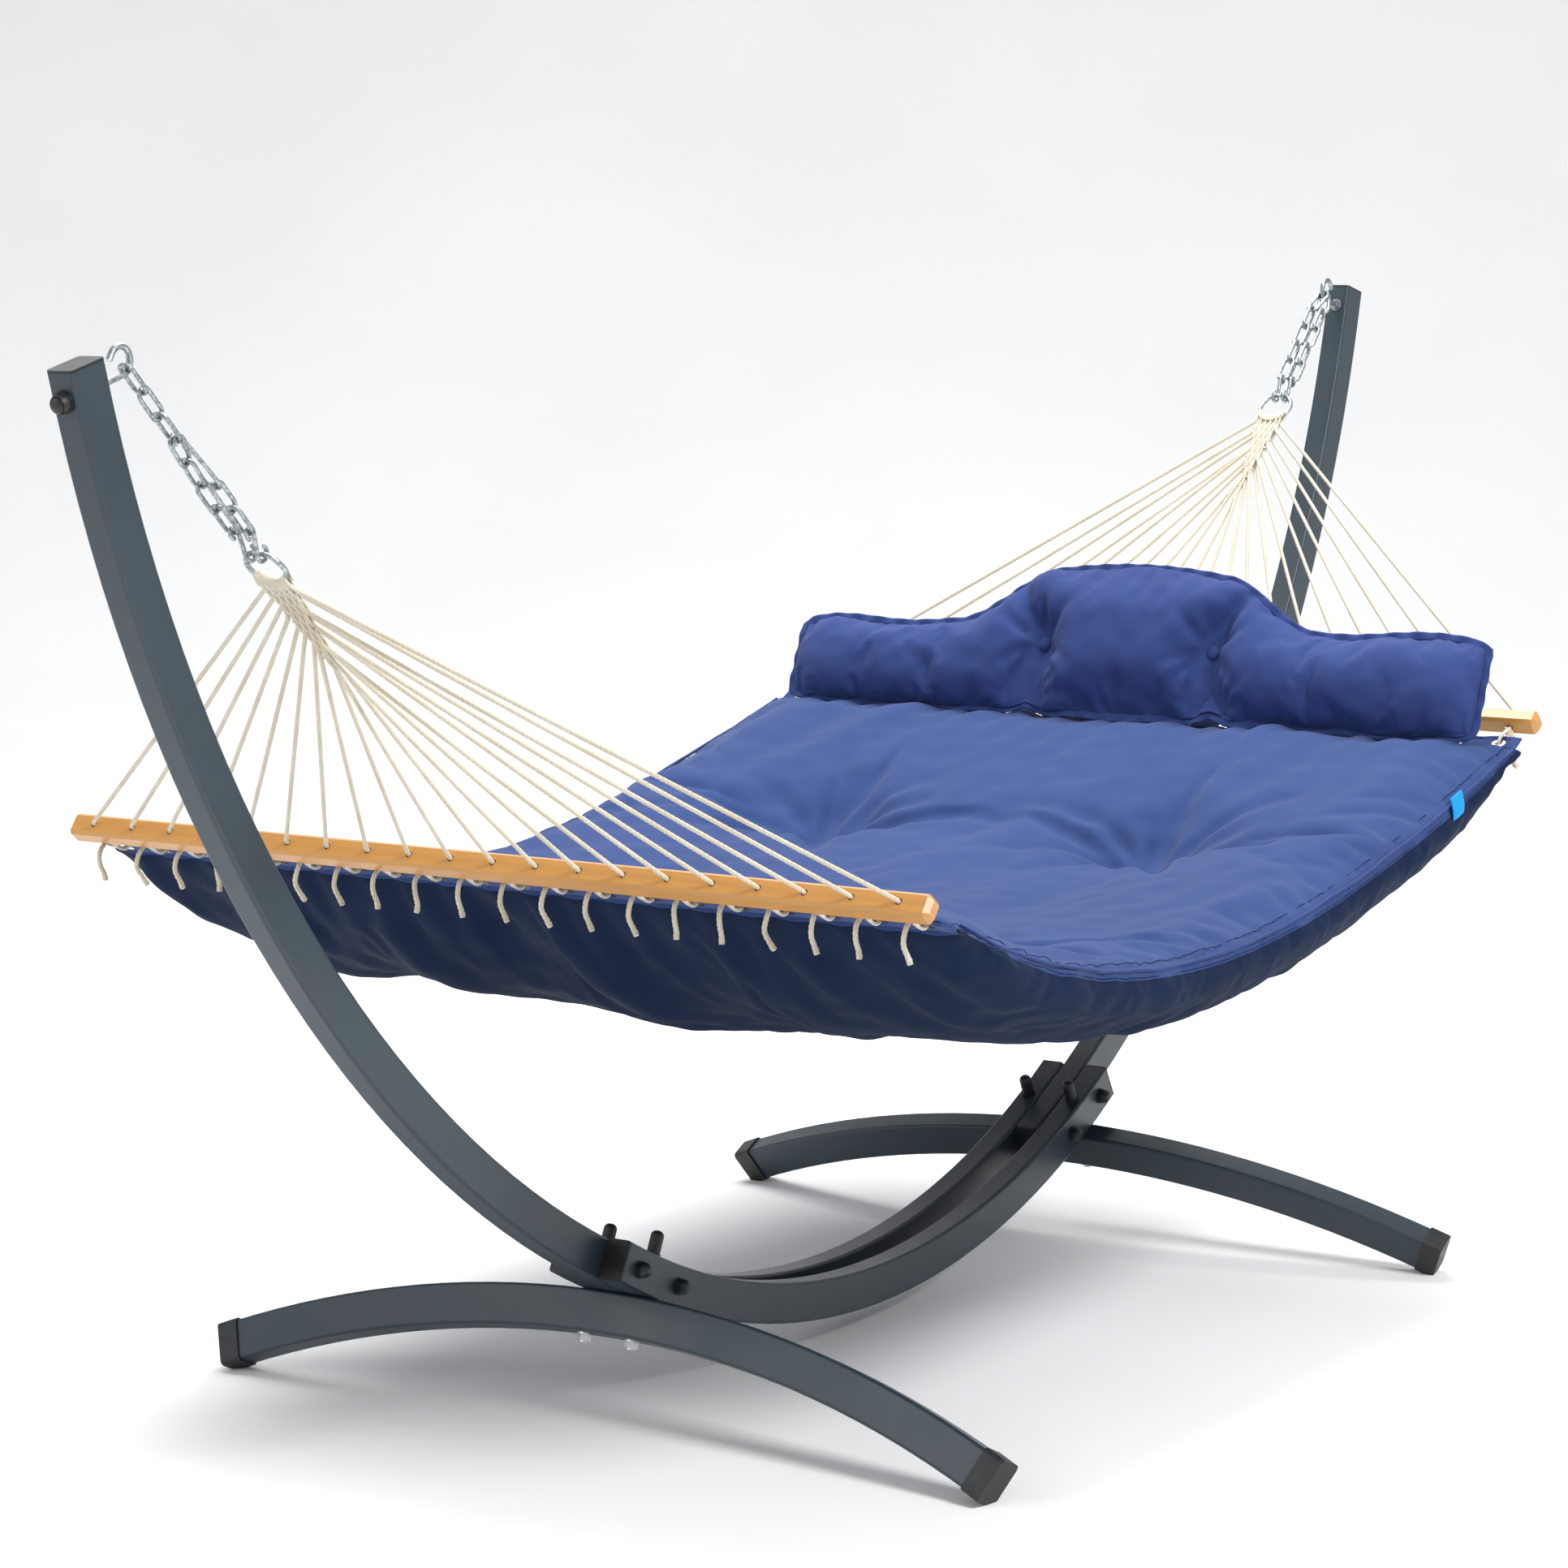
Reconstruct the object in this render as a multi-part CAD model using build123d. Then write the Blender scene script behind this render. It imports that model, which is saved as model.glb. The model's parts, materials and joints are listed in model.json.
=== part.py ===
from build123d import *
import math
import os

# Hammock on a curved steel stand. Millimetres, +Z up. The origin is on the floor under the middle
# of the stand, +X runs along the hammock from the left upright to the right one, where the pillow
# is, and -Y is the front side.

# ---- stand -----------------------------------------------------------------------------------
tube_depth = 60.0            # of every tube, in the plane of its curve
tube_width = 40.0            # of every tube, across the plane of its curve
tube_wall = 2.0
tube_corner = 5.0
arc_centre_z = 1494.0        # height of the centre that the two centre beams curve round
beam_radius = 1427.0
joint_angle = 25.5           # degrees from the lowest point to the middle of each bolted joint
joint_half = 3.5             # degrees from the middle of a joint to the tube ends in it
upright_radius = 1985.0
upright_top_angle = 75.8
foot_radius = 1613.0
foot_half_angle = 23.1
foot_cap_half_angle = 23.8
foot_cap_length_angle = 1.15
foot_cap_wall = 3.0
sole_thickness = 2.5
end_cap_plate = 4.0
end_cap_plug = 16.0

# ---- fasteners -------------------------------------------------------------------------------
bolt_radius = 5.0
bolt_hole_radius = 5.4
joint_bolt_spread = 2.1      # degrees from the middle of a joint to each cross bolt
washer_radius = 10.5
washer_thickness = 2.0
nut_across_flats = 17.0
nut_height = 8.5
small_across_flats = 14.0
bolt_head_height = 6.5
foot_head_height = 8.0
dome_radius = 11.0
dome_height = 17.0
dome_pocket = 11.5
tall_dome_radius = 9.5
tall_dome_height = 36.0
tall_dome_pocket = 14.0
hook_cover_radius = 12.5
hook_cover_height = 18.0
seat_gap = 0.1               # under a flat face that sits on a tube's hollow curve

# ---- hooks, chains and rings -----------------------------------------------------------------
hook_rod_radius = 4.2
hook_loop_radius = 17.0
hook_below_top = 33.0        # along the upright, from its top end to the hook's shank
hook_reach = 45.0            # from the upright's inner face to the start of the loop
hook_loop_turn = 222.0
hook_tip_length = 10.0
link_wire = 2.9
link_inner_length = 42.0
link_inner_width = 12.4
link_play = 0.5
s_hook_wire = 3.0
s_hook_eye_radius = 7.0
s_hook_bend_radius = 9.2
s_hook_span = 35.7
ring_radius = 28.0
ring_wire = 3.5
links_left = 7
links_right = 5
strand_offset = 3.1          # between the middle and each of two wires that lie side by side
left_lift = 2.4              # how much two wires side by side in one link ride up
right_lift = 1.5
strand_gap_left = 12.15       # from the middle to each of the two strands, at the ring
strand_gap_right = 9.0
ring_hook_gap = 9.0          # from the middle of a ring to each of its two S-hooks
joining_eye_radius = 7.2
joining_wire = 2.7

# ---- hammock ---------------------------------------------------------------------------------
bar_x = 938.0
bar_z_left = 827.0
bar_z_right = 852.0
bar_length = 1400.0
bar_face = 33.0              # width of the face that the holes run into
bar_depth = 28.0
bar_chamfer = 4.5
bar_end_chamfer = 7.0
bar_roll = 52.0              # degrees from the vertical to the axis of the holes
rope_count = 20
rope_pitch = 69.0
rope_radius = 3.2
rope_hole_radius = 4.6
clew_length_left = 168.0
clew_length_right = 190.0
clew_width = 46.0
clew_tip_width = 12.0
clew_thickness = 13.0
knot_radius = 7.0
tail_length = 62.0
knot_drop = 8.0              # from a bar's lower face to the middle of a knot
loop_half_width = 6.5
loop_length = 42.0           # from the middle of a knot to the middle of its grommet
grommet_radius = 11.0
grommet_hole_radius = 5.6
grommet_height = 4.6
hem_thickness = 3.0
hem_slope = 24.0             # degrees
hem_width = 45.0
hem_half_length = 688.0
pad_half_length = 862.0
pad_half_width = 690.0
pad_thickness = 74.0
pad_side_thickness = 60.0
pad_end_thickness = 16.0
pad_low = 655.0              # height of the top of the pad's sides, half way along
pad_rise = 152.5             # from there to the ends
pad_skew = 61.0              # how much the load's side makes the sides lean towards the left
pad_skew_back = 48.5
pad_hollow = 45.0            # how much lower the middle of the pad hangs than its sides
tag_length = 38.0
tag_height = 34.0
tag_thickness = 2.4
tag_x = 628.0

# ---- pillow ----------------------------------------------------------------------------------
pillow_half_length = 642.0
pillow_wing_height = 172.0
pillow_dome_height = 272.0
pillow_dome_half = 200.0
pillow_shoulder = 345.0
pillow_thickness = 90.0
pillow_lean = 24.0           # degrees back from the upright
pillow_x = 820.0
pillow_bottom = 832.0
pillow_corner = 55.0
button_radius = 13.0
button_thickness = 7.0
button_y = 158.0
button_height = 118.0
button_sink = 10.0


def save(name, shapes):
    """Write one node, as one solid or a group of separate solids."""
    shapes = shapes if isinstance(shapes, (list, tuple)) else [shapes]
    solids = [solid for shape in shapes for solid in shape.solids()]
    node = solids[0] if len(solids) == 1 else Compound(children=solids)
    node.label = name
    export_step(node, f"parts/{name}.step")


def polar(radius, angle, side=1, y=0.0, centre=(0.0, arc_centre_z)):
    """A point on a circle in the XZ plane, its angle counted from the lowest point."""
    turn = math.radians(angle)
    return Vector(side * (centre[0] + radius * math.sin(turn)), y, centre[1] - radius * math.cos(turn))


def outward(angle, side=1):
    turn = math.radians(angle)
    return Vector(side * math.sin(turn), 0, -math.cos(turn))


def along(angle, side=1):
    turn = math.radians(angle)
    return Vector(side * math.cos(turn), 0, math.sin(turn))


def cylinder(radius, start, end):
    """A round bar from one point to another."""
    axis = end - start
    return extrude(Plane(origin=start, z_dir=axis) * Circle(radius), axis.length)


def hexagon(across_flats, start, axis, height):
    sketch = RegularPolygon(across_flats / math.sqrt(3), 6)
    return extrude(Plane(origin=start, z_dir=axis) * sketch, height)


def ring_shape(outer, inner, start, axis, height):
    return extrude(Plane(origin=start, z_dir=axis) * (Circle(outer) - Circle(inner)), height)


def section(depth, width, corner):
    return RectangleRounded(depth, width, corner)


def bent_bar(profile, radius, angles, side, y, centre=(0.0, arc_centre_z)):
    """A section carried round an arc in the XZ plane, between two angles."""
    start, end = angles
    plane = Plane(origin=polar(radius, start, side, y, centre),
                  x_dir=outward(start, side), z_dir=along(start, side))
    pivot = Vector(side * centre[0], 0, centre[1])
    return revolve(plane * profile, Axis(pivot, (0, -side, 0)), end - start)


def hollow_section():
    outer = section(tube_depth, tube_width, tube_corner)
    return outer - section(tube_depth - 2 * tube_wall, tube_width - 2 * tube_wall, tube_corner - tube_wall)


# ---- where things are ------------------------------------------------------------------------
joint_point = polar(beam_radius, joint_angle)
upright_centre = (joint_point.X - upright_radius * math.sin(math.radians(joint_angle)),
                  joint_point.Z + upright_radius * math.cos(math.radians(joint_angle)))
upright_start = joint_angle - math.degrees(math.radians(joint_half) * beam_radius / upright_radius)
hook_angle = upright_top_angle - math.degrees(hook_below_top / upright_radius)


def hook_frame(side):
    """The hook's shank on the upright's inner face, its direction, and the way its loop turns."""
    inner = polar(upright_radius - tube_depth / 2, hook_angle, side, 0, upright_centre)
    return inner, -outward(hook_angle, side), along(hook_angle, side)


def hook_loop_centre(side):
    inner, shank, up = hook_frame(side)
    return inner + shank * hook_reach + up * hook_loop_radius


def bar_centre(side):
    return Vector(side * bar_x, 0, bar_z_left if side < 0 else bar_z_right)


def pull(side):
    """The direction of the pull, from the hook down to the spreader bar."""
    loop = hook_loop_centre(side)
    slope = (bar_centre(side) - loop).normalized()
    seat = loop + slope * hook_loop_radius
    return seat, (bar_centre(side) - seat).normalized()


def sideways(side):
    """Square to the pull, in the XZ plane, upwards and inwards."""
    direction = pull(side)[1]
    return Vector(-side * abs(direction.Z), 0, abs(direction.X))


def wire_positions(side):
    """How far down the pull the upper end of each link's wire lies, from the hook to the ring."""
    count = links_left if side < 0 else links_right
    shared = 3 if side < 0 else 1
    places = [-(link_inner_width / 2 + link_wire)]
    for number in range(1, count):
        lift = (left_lift if side < 0 else right_lift) if number == shared else 0
        places.append(places[-1] + link_inner_length - link_play - lift)
    return places


def strand_end(side):
    """How far down the pull the lower end of the last link's wire lies."""
    return wire_positions(side)[-1] + link_inner_length + 2 * link_wire


def strand_gap(side):
    return strand_gap_left if side < 0 else strand_gap_right


def strand_spread(side, at):
    """How far from the middle a strand lies, at a distance down the pull."""
    if side > 0:
        return strand_gap_right
    split, joined = wire_positions(side)[3], wire_positions(side)[5]
    part = min(1, (at - split) / (joined - split))
    return strand_offset + (strand_gap_left - strand_offset) * part


def ring_contact(side):
    seat, direction = pull(side)
    return seat + direction * (strand_end(side) + s_hook_span)


def ring_centre(side):
    return ring_contact(side) + pull(side)[1] * ring_radius


def hole_axis(side):
    turn = math.radians(bar_roll)
    return Vector(side * math.sin(turn), 0, math.cos(turn))


def face_across(side):
    turn = math.radians(bar_roll)
    return Vector(-side * math.cos(turn), 0, math.sin(turn))


def rope_y(number):
    return (number - (rope_count - 1) / 2) * rope_pitch


# ---- stand parts -----------------------------------------------------------------------------
def joint_holes(side):
    """Clearance holes for the two cross bolts of a joint."""
    cuts = []
    for step in (-1, 1):
        point = polar(beam_radius, joint_angle + step * joint_bolt_spread, side)
        cuts.append(cylinder(bolt_hole_radius, point - Vector(0, 80, 0), point + Vector(0, 80, 0)))
    return cuts


def foot_bolt_line(side, y):
    """The ends of a bolt that runs down through a centre beam and a foot."""
    top = polar(beam_radius - tube_depth / 2 - seat_gap, joint_angle, side, y)
    return top, outward(joint_angle, side)


def foot_holes(side):
    cuts = []
    for y in (-tube_width, tube_width):
        top, down = foot_bolt_line(side, y)
        cuts.append(cylinder(bolt_hole_radius, top - down * 10, top + down * (2 * tube_depth + 20)))
    return cuts


def centre_beam(y):
    end = joint_angle + joint_half
    beam = bent_bar(hollow_section(), beam_radius, (-end, end), 1, y)
    for side in (-1, 1):
        beam = beam - joint_holes(side) - foot_holes(side)
    return beam


def end_plug(point, direction, depth_dir):
    """A plastic plate that closes a tube's end, with a plug inside the tube."""
    inner = section(tube_depth - 2 * tube_wall - 0.6, tube_width - 2 * tube_wall - 0.6, 2.5)
    plate = Plane(origin=point, x_dir=depth_dir, z_dir=direction) * section(tube_depth, tube_width, tube_corner)
    core = Plane(origin=point, x_dir=depth_dir, z_dir=-direction) * inner
    return extrude(plate, end_cap_plate) + extrude(core, end_cap_plug)


def upright(side):
    angles = (upright_start, upright_top_angle)
    tube = bent_bar(hollow_section(), upright_radius, angles, side, 0, upright_centre)
    inner, shank, _ = hook_frame(side)
    hook_hole = cylinder(hook_rod_radius + 0.5, inner - shank * (tube_depth + 10), inner + shank * 10)
    return tube - joint_holes(side) - hook_hole


def foot_frame(side):
    """The foot's middle under the beams, its upward normal, and the axis its arch turns about."""
    middle = polar(beam_radius + tube_depth + 0.2, joint_angle, side)
    normal = -outward(joint_angle, side)
    return middle, normal, normal.cross(Vector(0, 1, 0))


def foot_arc(side, profile, start, end):
    middle, normal, turn_axis = foot_frame(side)
    centre = middle - normal * foot_radius
    spoke = normal * math.cos(math.radians(start)) + Vector(0, math.sin(math.radians(start)), 0)
    plane = Plane(origin=centre + spoke * foot_radius, x_dir=spoke, z_dir=turn_axis.cross(spoke))
    return revolve(plane * profile, Axis(centre, turn_axis), end - start)


def above_floor(height):
    size = 4000
    return Pos(0, 0, height + size / 2) * Box(size, size, size)


def foot(side):
    tube = foot_arc(side, hollow_section(), -foot_half_angle, foot_half_angle)
    return (tube & above_floor(sole_thickness)) - foot_holes(side)


def foot_cap(side, end):
    """A sleeve over the end of a foot, with a closed end and a level sole."""
    outer_angles = sorted((end * (foot_cap_half_angle - foot_cap_length_angle), end * foot_cap_half_angle))
    inner_angles = sorted((end * (foot_half_angle - 2 * foot_cap_length_angle), end * foot_half_angle))
    grown = 2 * foot_cap_wall
    outer = foot_arc(side, section(tube_depth + grown, tube_width + grown, 8.0), *outer_angles)
    inner = foot_arc(side, section(tube_depth, tube_width, tube_corner), *inner_angles)
    return (outer & above_floor(0)) - (inner & above_floor(sole_thickness))


def dome(radius, height, base, axis, collar):
    """A round plastic cap with a domed end and a low collar."""
    cap = extrude(Plane(origin=base, z_dir=axis) * Circle(radius), height)
    tip = cap.faces().sort_by(Axis(base, axis))[-1]
    cap = fillet(tip.edges(), radius * 0.8)
    return cap + ring_shape(radius + collar, radius - 1, base, axis, 3.0)


def make_stand():
    end = joint_angle + joint_half
    plugs = []
    for name, y in (("front", -tube_width), ("back", tube_width)):
        save(f"centre_beam_{name}", centre_beam(y))
        for side in (-1, 1):
            point = polar(beam_radius, end, side, y)
            plugs.append(end_plug(point, along(end, side), outward(end, side)))
    save("centre_beam_end_caps", plugs)
    for word, side in (("left", -1), ("right", 1)):
        save(f"upright_{word}", upright(side))
        top = polar(upright_radius, upright_top_angle, side, 0, upright_centre)
        save(f"upright_{word}_top_cap",
             end_plug(top, along(upright_top_angle, side), outward(upright_top_angle, side)))
        low = polar(upright_radius, upright_start, side, 0, upright_centre)
        save(f"upright_{word}_lower_cap",
             end_plug(low, -along(upright_start, side), outward(upright_start, side)))
        save(f"foot_{word}", foot(side))
        save(f"foot_{word}_front_cap", foot_cap(side, -1))
        save(f"foot_{word}_back_cap", foot_cap(side, 1))


def make_joint_fasteners():
    """The cross bolts that clamp each upright between the two centre beams."""
    bolts, nuts, domes = [], [], []
    reach = Vector(0, 1.5 * tube_width, 0)
    across = Vector(0, 1, 0)
    for side in (-1, 1):
        for step in (-1, 1):
            point = polar(beam_radius, joint_angle + step * joint_bolt_spread, side)
            front, back = point - reach, point + reach
            shank = cylinder(bolt_radius, front - across, back + across * (nut_height + 2.5))
            bolts.append(shank + hexagon(nut_across_flats, front, -across, bolt_head_height))
            nut = hexagon(nut_across_flats, back, across, nut_height)
            nuts.append(nut - cylinder(bolt_radius + 0.05, point, back + across * 30))
            for start, axis in ((front, -across), (back, across)):
                pocket = cylinder(nut_across_flats / math.sqrt(3) + 0.2, start, start + axis * dome_pocket)
                domes.append(dome(dome_radius, dome_height, start, axis, 1.5) - pocket)
    save("joint_bolts", bolts)
    save("joint_nuts", nuts)
    save("joint_bolt_covers", domes)


def make_foot_fasteners():
    """The bolts that run down through each centre beam into a foot."""
    bolts, washers, nuts, covers = [], [], [], []
    low_radius = foot_radius - tube_depth / 2
    for side in (-1, 1):
        for y in (-tube_width, tube_width):
            top, down = foot_bolt_line(side, y)
            rise = low_radius - math.sqrt(low_radius ** 2 - y ** 2)
            under = top + down * (2 * tube_depth + 0.2 + rise + 0.8)
            shank = cylinder(bolt_radius, top - down * foot_head_height, under + down * (nut_height + 5))
            bolts.append(shank + hexagon(small_across_flats, top, -down, foot_head_height))
            washers.append(ring_shape(washer_radius, bolt_radius + 0.1, under, down, washer_thickness))
            nut = hexagon(nut_across_flats, under + down * washer_thickness, down, nut_height)
            nuts.append(nut - cylinder(bolt_radius + 0.05, top, under + down * 30))
            pocket = cylinder(small_across_flats / math.sqrt(3) + 0.2, top, top - down * tall_dome_pocket)
            covers.append(dome(tall_dome_radius, tall_dome_height, top, -down, 1.5) - pocket)
    save("foot_bolts", bolts)
    save("foot_bolt_washers", washers)
    save("foot_bolt_nuts", nuts)
    save("foot_bolt_covers", covers)


# ---- hooks and chains ------------------------------------------------------------------------
def hook_bolt(side):
    inner, shank, up = hook_frame(side)
    start = inner - shank * (tube_depth + 13)
    bend = inner + shank * hook_reach
    centre = bend + up * hook_loop_radius
    turn = math.radians(hook_loop_turn)
    middle = centre + (shank * math.sin(turn / 2) - up * math.cos(turn / 2)) * hook_loop_radius
    finish = centre + (shank * math.sin(turn) - up * math.cos(turn)) * hook_loop_radius
    tip = finish + (shank * math.cos(turn) + up * math.sin(turn)) * hook_tip_length
    path = Wire([Line(start, bend).edge(), ThreePointArc(bend, middle, finish).edge(), Line(finish, tip).edge()])
    rod = sweep(Plane(origin=start, z_dir=shank) * Circle(hook_rod_radius), path=path)
    return rod


def make_hooks():
    washers, nuts, covers = [], [], []
    for word, side in (("left", -1), ("right", 1)):
        inner, shank, _ = hook_frame(side)
        outer = inner - shank * tube_depth
        near = inner + shank * seat_gap
        save(f"hook_bolt_{word}", hook_bolt(side))
        washers.append(ring_shape(washer_radius, hook_rod_radius + 0.1, near, shank, washer_thickness))
        washers.append(ring_shape(washer_radius, hook_rod_radius + 0.1, outer, -shank, washer_thickness))
        rod = cylinder(hook_rod_radius + 0.05, outer - shank * 30, inner + shank * 30)
        nuts.append(hexagon(small_across_flats, near + shank * washer_thickness, shank, 6.0) - rod)
        nuts.append(hexagon(small_across_flats, outer - shank * washer_thickness, -shank, 8.0) - rod)
        pocket = cylinder(washer_radius + 0.3, outer, outer - shank * 14.5)
        covers.append(dome(hook_cover_radius, hook_cover_height, outer, -shank, 1.5) - pocket)
    save("hook_washers", washers)
    save("hook_nuts", nuts)
    save("hook_nut_covers", covers)


def link_shape():
    """A long link standing on Z, its width along X, its upper wire's centre at the origin."""
    half = link_inner_width / 2 + link_wire
    low = link_inner_length + 2 * link_wire - half
    path = Wire([Line((half, 0, half), (half, 0, low)).edge(),
                 ThreePointArc((half, 0, low), (0, 0, low + half), (-half, 0, low)).edge(),
                 Line((-half, 0, low), (-half, 0, half)).edge(),
                 ThreePointArc((-half, 0, half), (0, 0, 0), (half, 0, half)).edge()])
    return sweep(Plane(origin=(half, 0, half), z_dir=(0, 0, 1)) * Circle(link_wire), path=path)


def leaning_link(top, direction, sign):
    """The top and axis of a link that leans aside round the hook it hangs on."""
    crown = link_inner_width / 2 + link_wire
    lean = math.asin(strand_gap_right / (link_inner_length + 2 * link_wire - 2 * crown))
    axis = direction * math.cos(lean) + Vector(0, sign * math.sin(lean), 0)
    return top + (direction - axis) * crown, axis


def strand(side, sign, numbers):
    """Links hung one in the next, each turned a quarter from the one above it."""
    seat, direction = pull(side)
    across = sideways(side)
    split = 4 if side < 0 else 2
    shift = 0 if side < 0 else sign * strand_offset
    link = link_shape()
    links = []
    for number in numbers:
        top_at = wire_positions(side)[number - 1]
        low_at = top_at + link_inner_length + 2 * link_wire
        top_y, low_y = 0, 0
        if number >= split:
            top_y, low_y = (sign * strand_spread(side, at) for at in (top_at, low_at))
        top = seat + direction * top_at + across * shift + Vector(0, top_y, 0)
        low = seat + direction * low_at + across * shift + Vector(0, low_y, 0)
        axis = (low - top).normalized()
        if side > 0 and number == 1:
            top, axis = leaning_link(top, direction, sign)
        flat = Vector(0, 1, 0) if number % 2 else across
        flat = (flat - axis * flat.dot(axis)).normalized()
        links.append(Plane(origin=top, x_dir=flat, z_dir=axis) * link)
    return links


def s_hook(eye, bend, across, eye_turn=250.0, bend_turn=235.0):
    """An S-shaped hook round two wires, its shank crossing from one side to the other."""
    axis = bend - eye
    span = axis.length
    axis = axis.normalized()
    across = (across - axis * across.dot(axis)).normalized()
    lean = math.asin((s_hook_eye_radius + s_hook_bend_radius) / span)

    def spot(centre, radius, angle):
        return centre + across * (radius * math.cos(angle)) + axis * (radius * math.sin(angle))

    leave, arrive = lean, math.pi + lean
    sweep_eye, sweep_bend = math.radians(eye_turn), math.radians(bend_turn)
    eye_points = [spot(eye, s_hook_eye_radius, leave - sweep_eye * part) for part in (1.0, 0.5, 0.0)]
    bend_points = [spot(bend, s_hook_bend_radius, arrive - sweep_bend * part) for part in (0.0, 0.5, 1.0)]
    path = Wire([ThreePointArc(*eye_points).edge(), Line(eye_points[2], bend_points[0]).edge(),
                 ThreePointArc(*bend_points).edge()])
    start_dir = path.tangent_at(0)
    return sweep(Plane(origin=eye_points[0], z_dir=start_dir) * Circle(s_hook_wire), path=path)


def joining_hook(side):
    """A long hook from the third link to the sixth, its two ends a quarter turn apart."""
    seat, direction = pull(side)
    across = sideways(side)
    low_wire = wire_positions(side)[2] + link_inner_length + 2 * link_wire
    crown = link_inner_width / 2 + link_wire
    dip = crown - math.sqrt(crown ** 2 - strand_offset ** 2)
    eye = seat + direction * (low_wire - dip) - Vector(0, strand_offset, 0)
    bend_at = wire_positions(side)[5]
    bend = seat + direction * bend_at - Vector(0, strand_spread(side, bend_at), 0)
    eye_side = across * joining_eye_radius
    bend_side = Vector(0, -joining_eye_radius, 0)
    reach = direction * joining_eye_radius
    path = Wire([ThreePointArc(eye - eye_side, eye - reach, eye + eye_side).edge(),
                 Spline(eye + eye_side, bend + bend_side, tangents=(direction, direction)).edge(),
                 ThreePointArc(bend + bend_side, bend + reach, bend - bend_side).edge()])
    return sweep(Plane(origin=eye - eye_side, z_dir=-direction) * Circle(joining_wire), path=path)


def ring_wire_at(side, y):
    """The centre of the ring's wire beside its highest point."""
    drop = ring_radius - math.sqrt(ring_radius ** 2 - y ** 2)
    return ring_contact(side) + pull(side)[1] * drop + Vector(0, y, 0)


def make_chains():
    save("chain_left_back", strand(-1, 1, range(1, links_left + 1)))
    save("chain_left_front", strand(-1, -1, (links_left - 1, links_left)))
    save("joining_hook_left", joining_hook(-1))
    for place, sign in (("front", -1), ("back", 1)):
        save(f"chain_right_{place}", strand(1, sign, range(1, links_right + 1)))
    for word, side in (("left", -1), ("right", 1)):
        seat, direction = pull(side)
        across = sideways(side)
        for place, sign in (("front", -1), ("back", 1)):
            shift = 0 if side < 0 else sign * strand_offset
            aside = sign * strand_gap(side)
            eye = seat + direction * strand_end(side) + across * shift + Vector(0, aside, 0)
            wire = ring_wire_at(side, sign * ring_hook_gap)
            save(f"s_hook_{word}_{place}", s_hook(eye, wire, across))


# ---- the hammock's ropes, bars and bed -------------------------------------------------------
def ring(side):
    plane = Plane(origin=ring_centre(side), x_dir=Vector(0, 1, 0), z_dir=sideways(side))
    return plane * Torus(ring_radius, ring_wire)


def weave_plane(side, at):
    """A plane across the woven clew, its X along Y, at a distance below the ring's lower wire."""
    direction = pull(side)[1]
    origin = ring_centre(side) + direction * (ring_radius + at)
    return Plane(origin=origin, x_dir=Vector(0, 1, 0), z_dir=direction)


def clew_length(side):
    return clew_length_left if side < 0 else clew_length_right


def weave(side):
    """The woven clew: a flat tapering braid that hangs from the ring."""
    top = weave_plane(side, -ring_wire - 3.2) * RectangleRounded(clew_width, clew_thickness, 5.5)
    low = weave_plane(side, clew_length(side)) * RectangleRounded(clew_tip_width, clew_thickness, 5.5)
    plane = Plane(origin=ring_centre(side), x_dir=Vector(0, 1, 0), z_dir=sideways(side))
    return loft([top, low]) - plane * Torus(ring_radius, ring_wire + 0.2)


def hole_mouth(side, number):
    return bar_centre(side) + hole_axis(side) * (bar_depth / 2 + 3) + Vector(0, rope_y(number), 0)


def knot_centre(side, number):
    return bar_centre(side) - hole_axis(side) * (bar_depth / 2 + knot_drop) + Vector(0, rope_y(number), 0)


def rope_start(side, number):
    """Where a rope leaves the clew: the outer ropes leave highest."""
    rank = min(number, rope_count - 1 - number)
    rows = rope_count / 2 - 1
    sign = -1 if number < rope_count / 2 else 1
    at = 14 + (clew_length(side) - 20) * rank / rows
    half = (clew_width + (clew_tip_width - clew_width) * at / clew_length(side)) / 2
    offset = sideways(side) * (2.3 if rank % 2 else -2.3)
    return weave_plane(side, at).origin + Vector(0, sign * (half - 2), 0) + offset


def rope(side, number):
    start = rope_start(side, number)
    mouth = hole_mouth(side, number)
    knot = knot_centre(side, number) + hole_axis(side) * (knot_radius - 1.5)
    path = FilletPolyline(start, mouth, knot, radius=5)
    return sweep(Plane(origin=start, z_dir=mouth - start) * Circle(rope_radius), path=path)


def spreader_bar(side):
    plane = Plane(origin=bar_centre(side), x_dir=face_across(side), z_dir=hole_axis(side))
    bar = Box(bar_face, bar_length, bar_depth)
    bar = chamfer(bar.edges().filter_by(Axis.Y), bar_chamfer)
    ends = bar.faces().filter_by(Axis.Y)
    bar = chamfer(ends.edges(), bar_end_chamfer - 0.5)
    holes = [Pos(0, rope_y(number), 0) * Cylinder(rope_hole_radius, 2 * bar_depth) for number in range(rope_count)]
    return plane * (bar - holes)


def hem_way(side):
    """The direction from a bar down along the hem, and the hem's normal."""
    turn = math.radians(hem_slope)
    return Vector(-side * math.cos(turn), 0, -math.sin(turn)), Vector(-side * math.sin(turn), 0, math.cos(turn))


def grommet_centre(side, number):
    return knot_centre(side, number) + hem_way(side)[0] * loop_length


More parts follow.
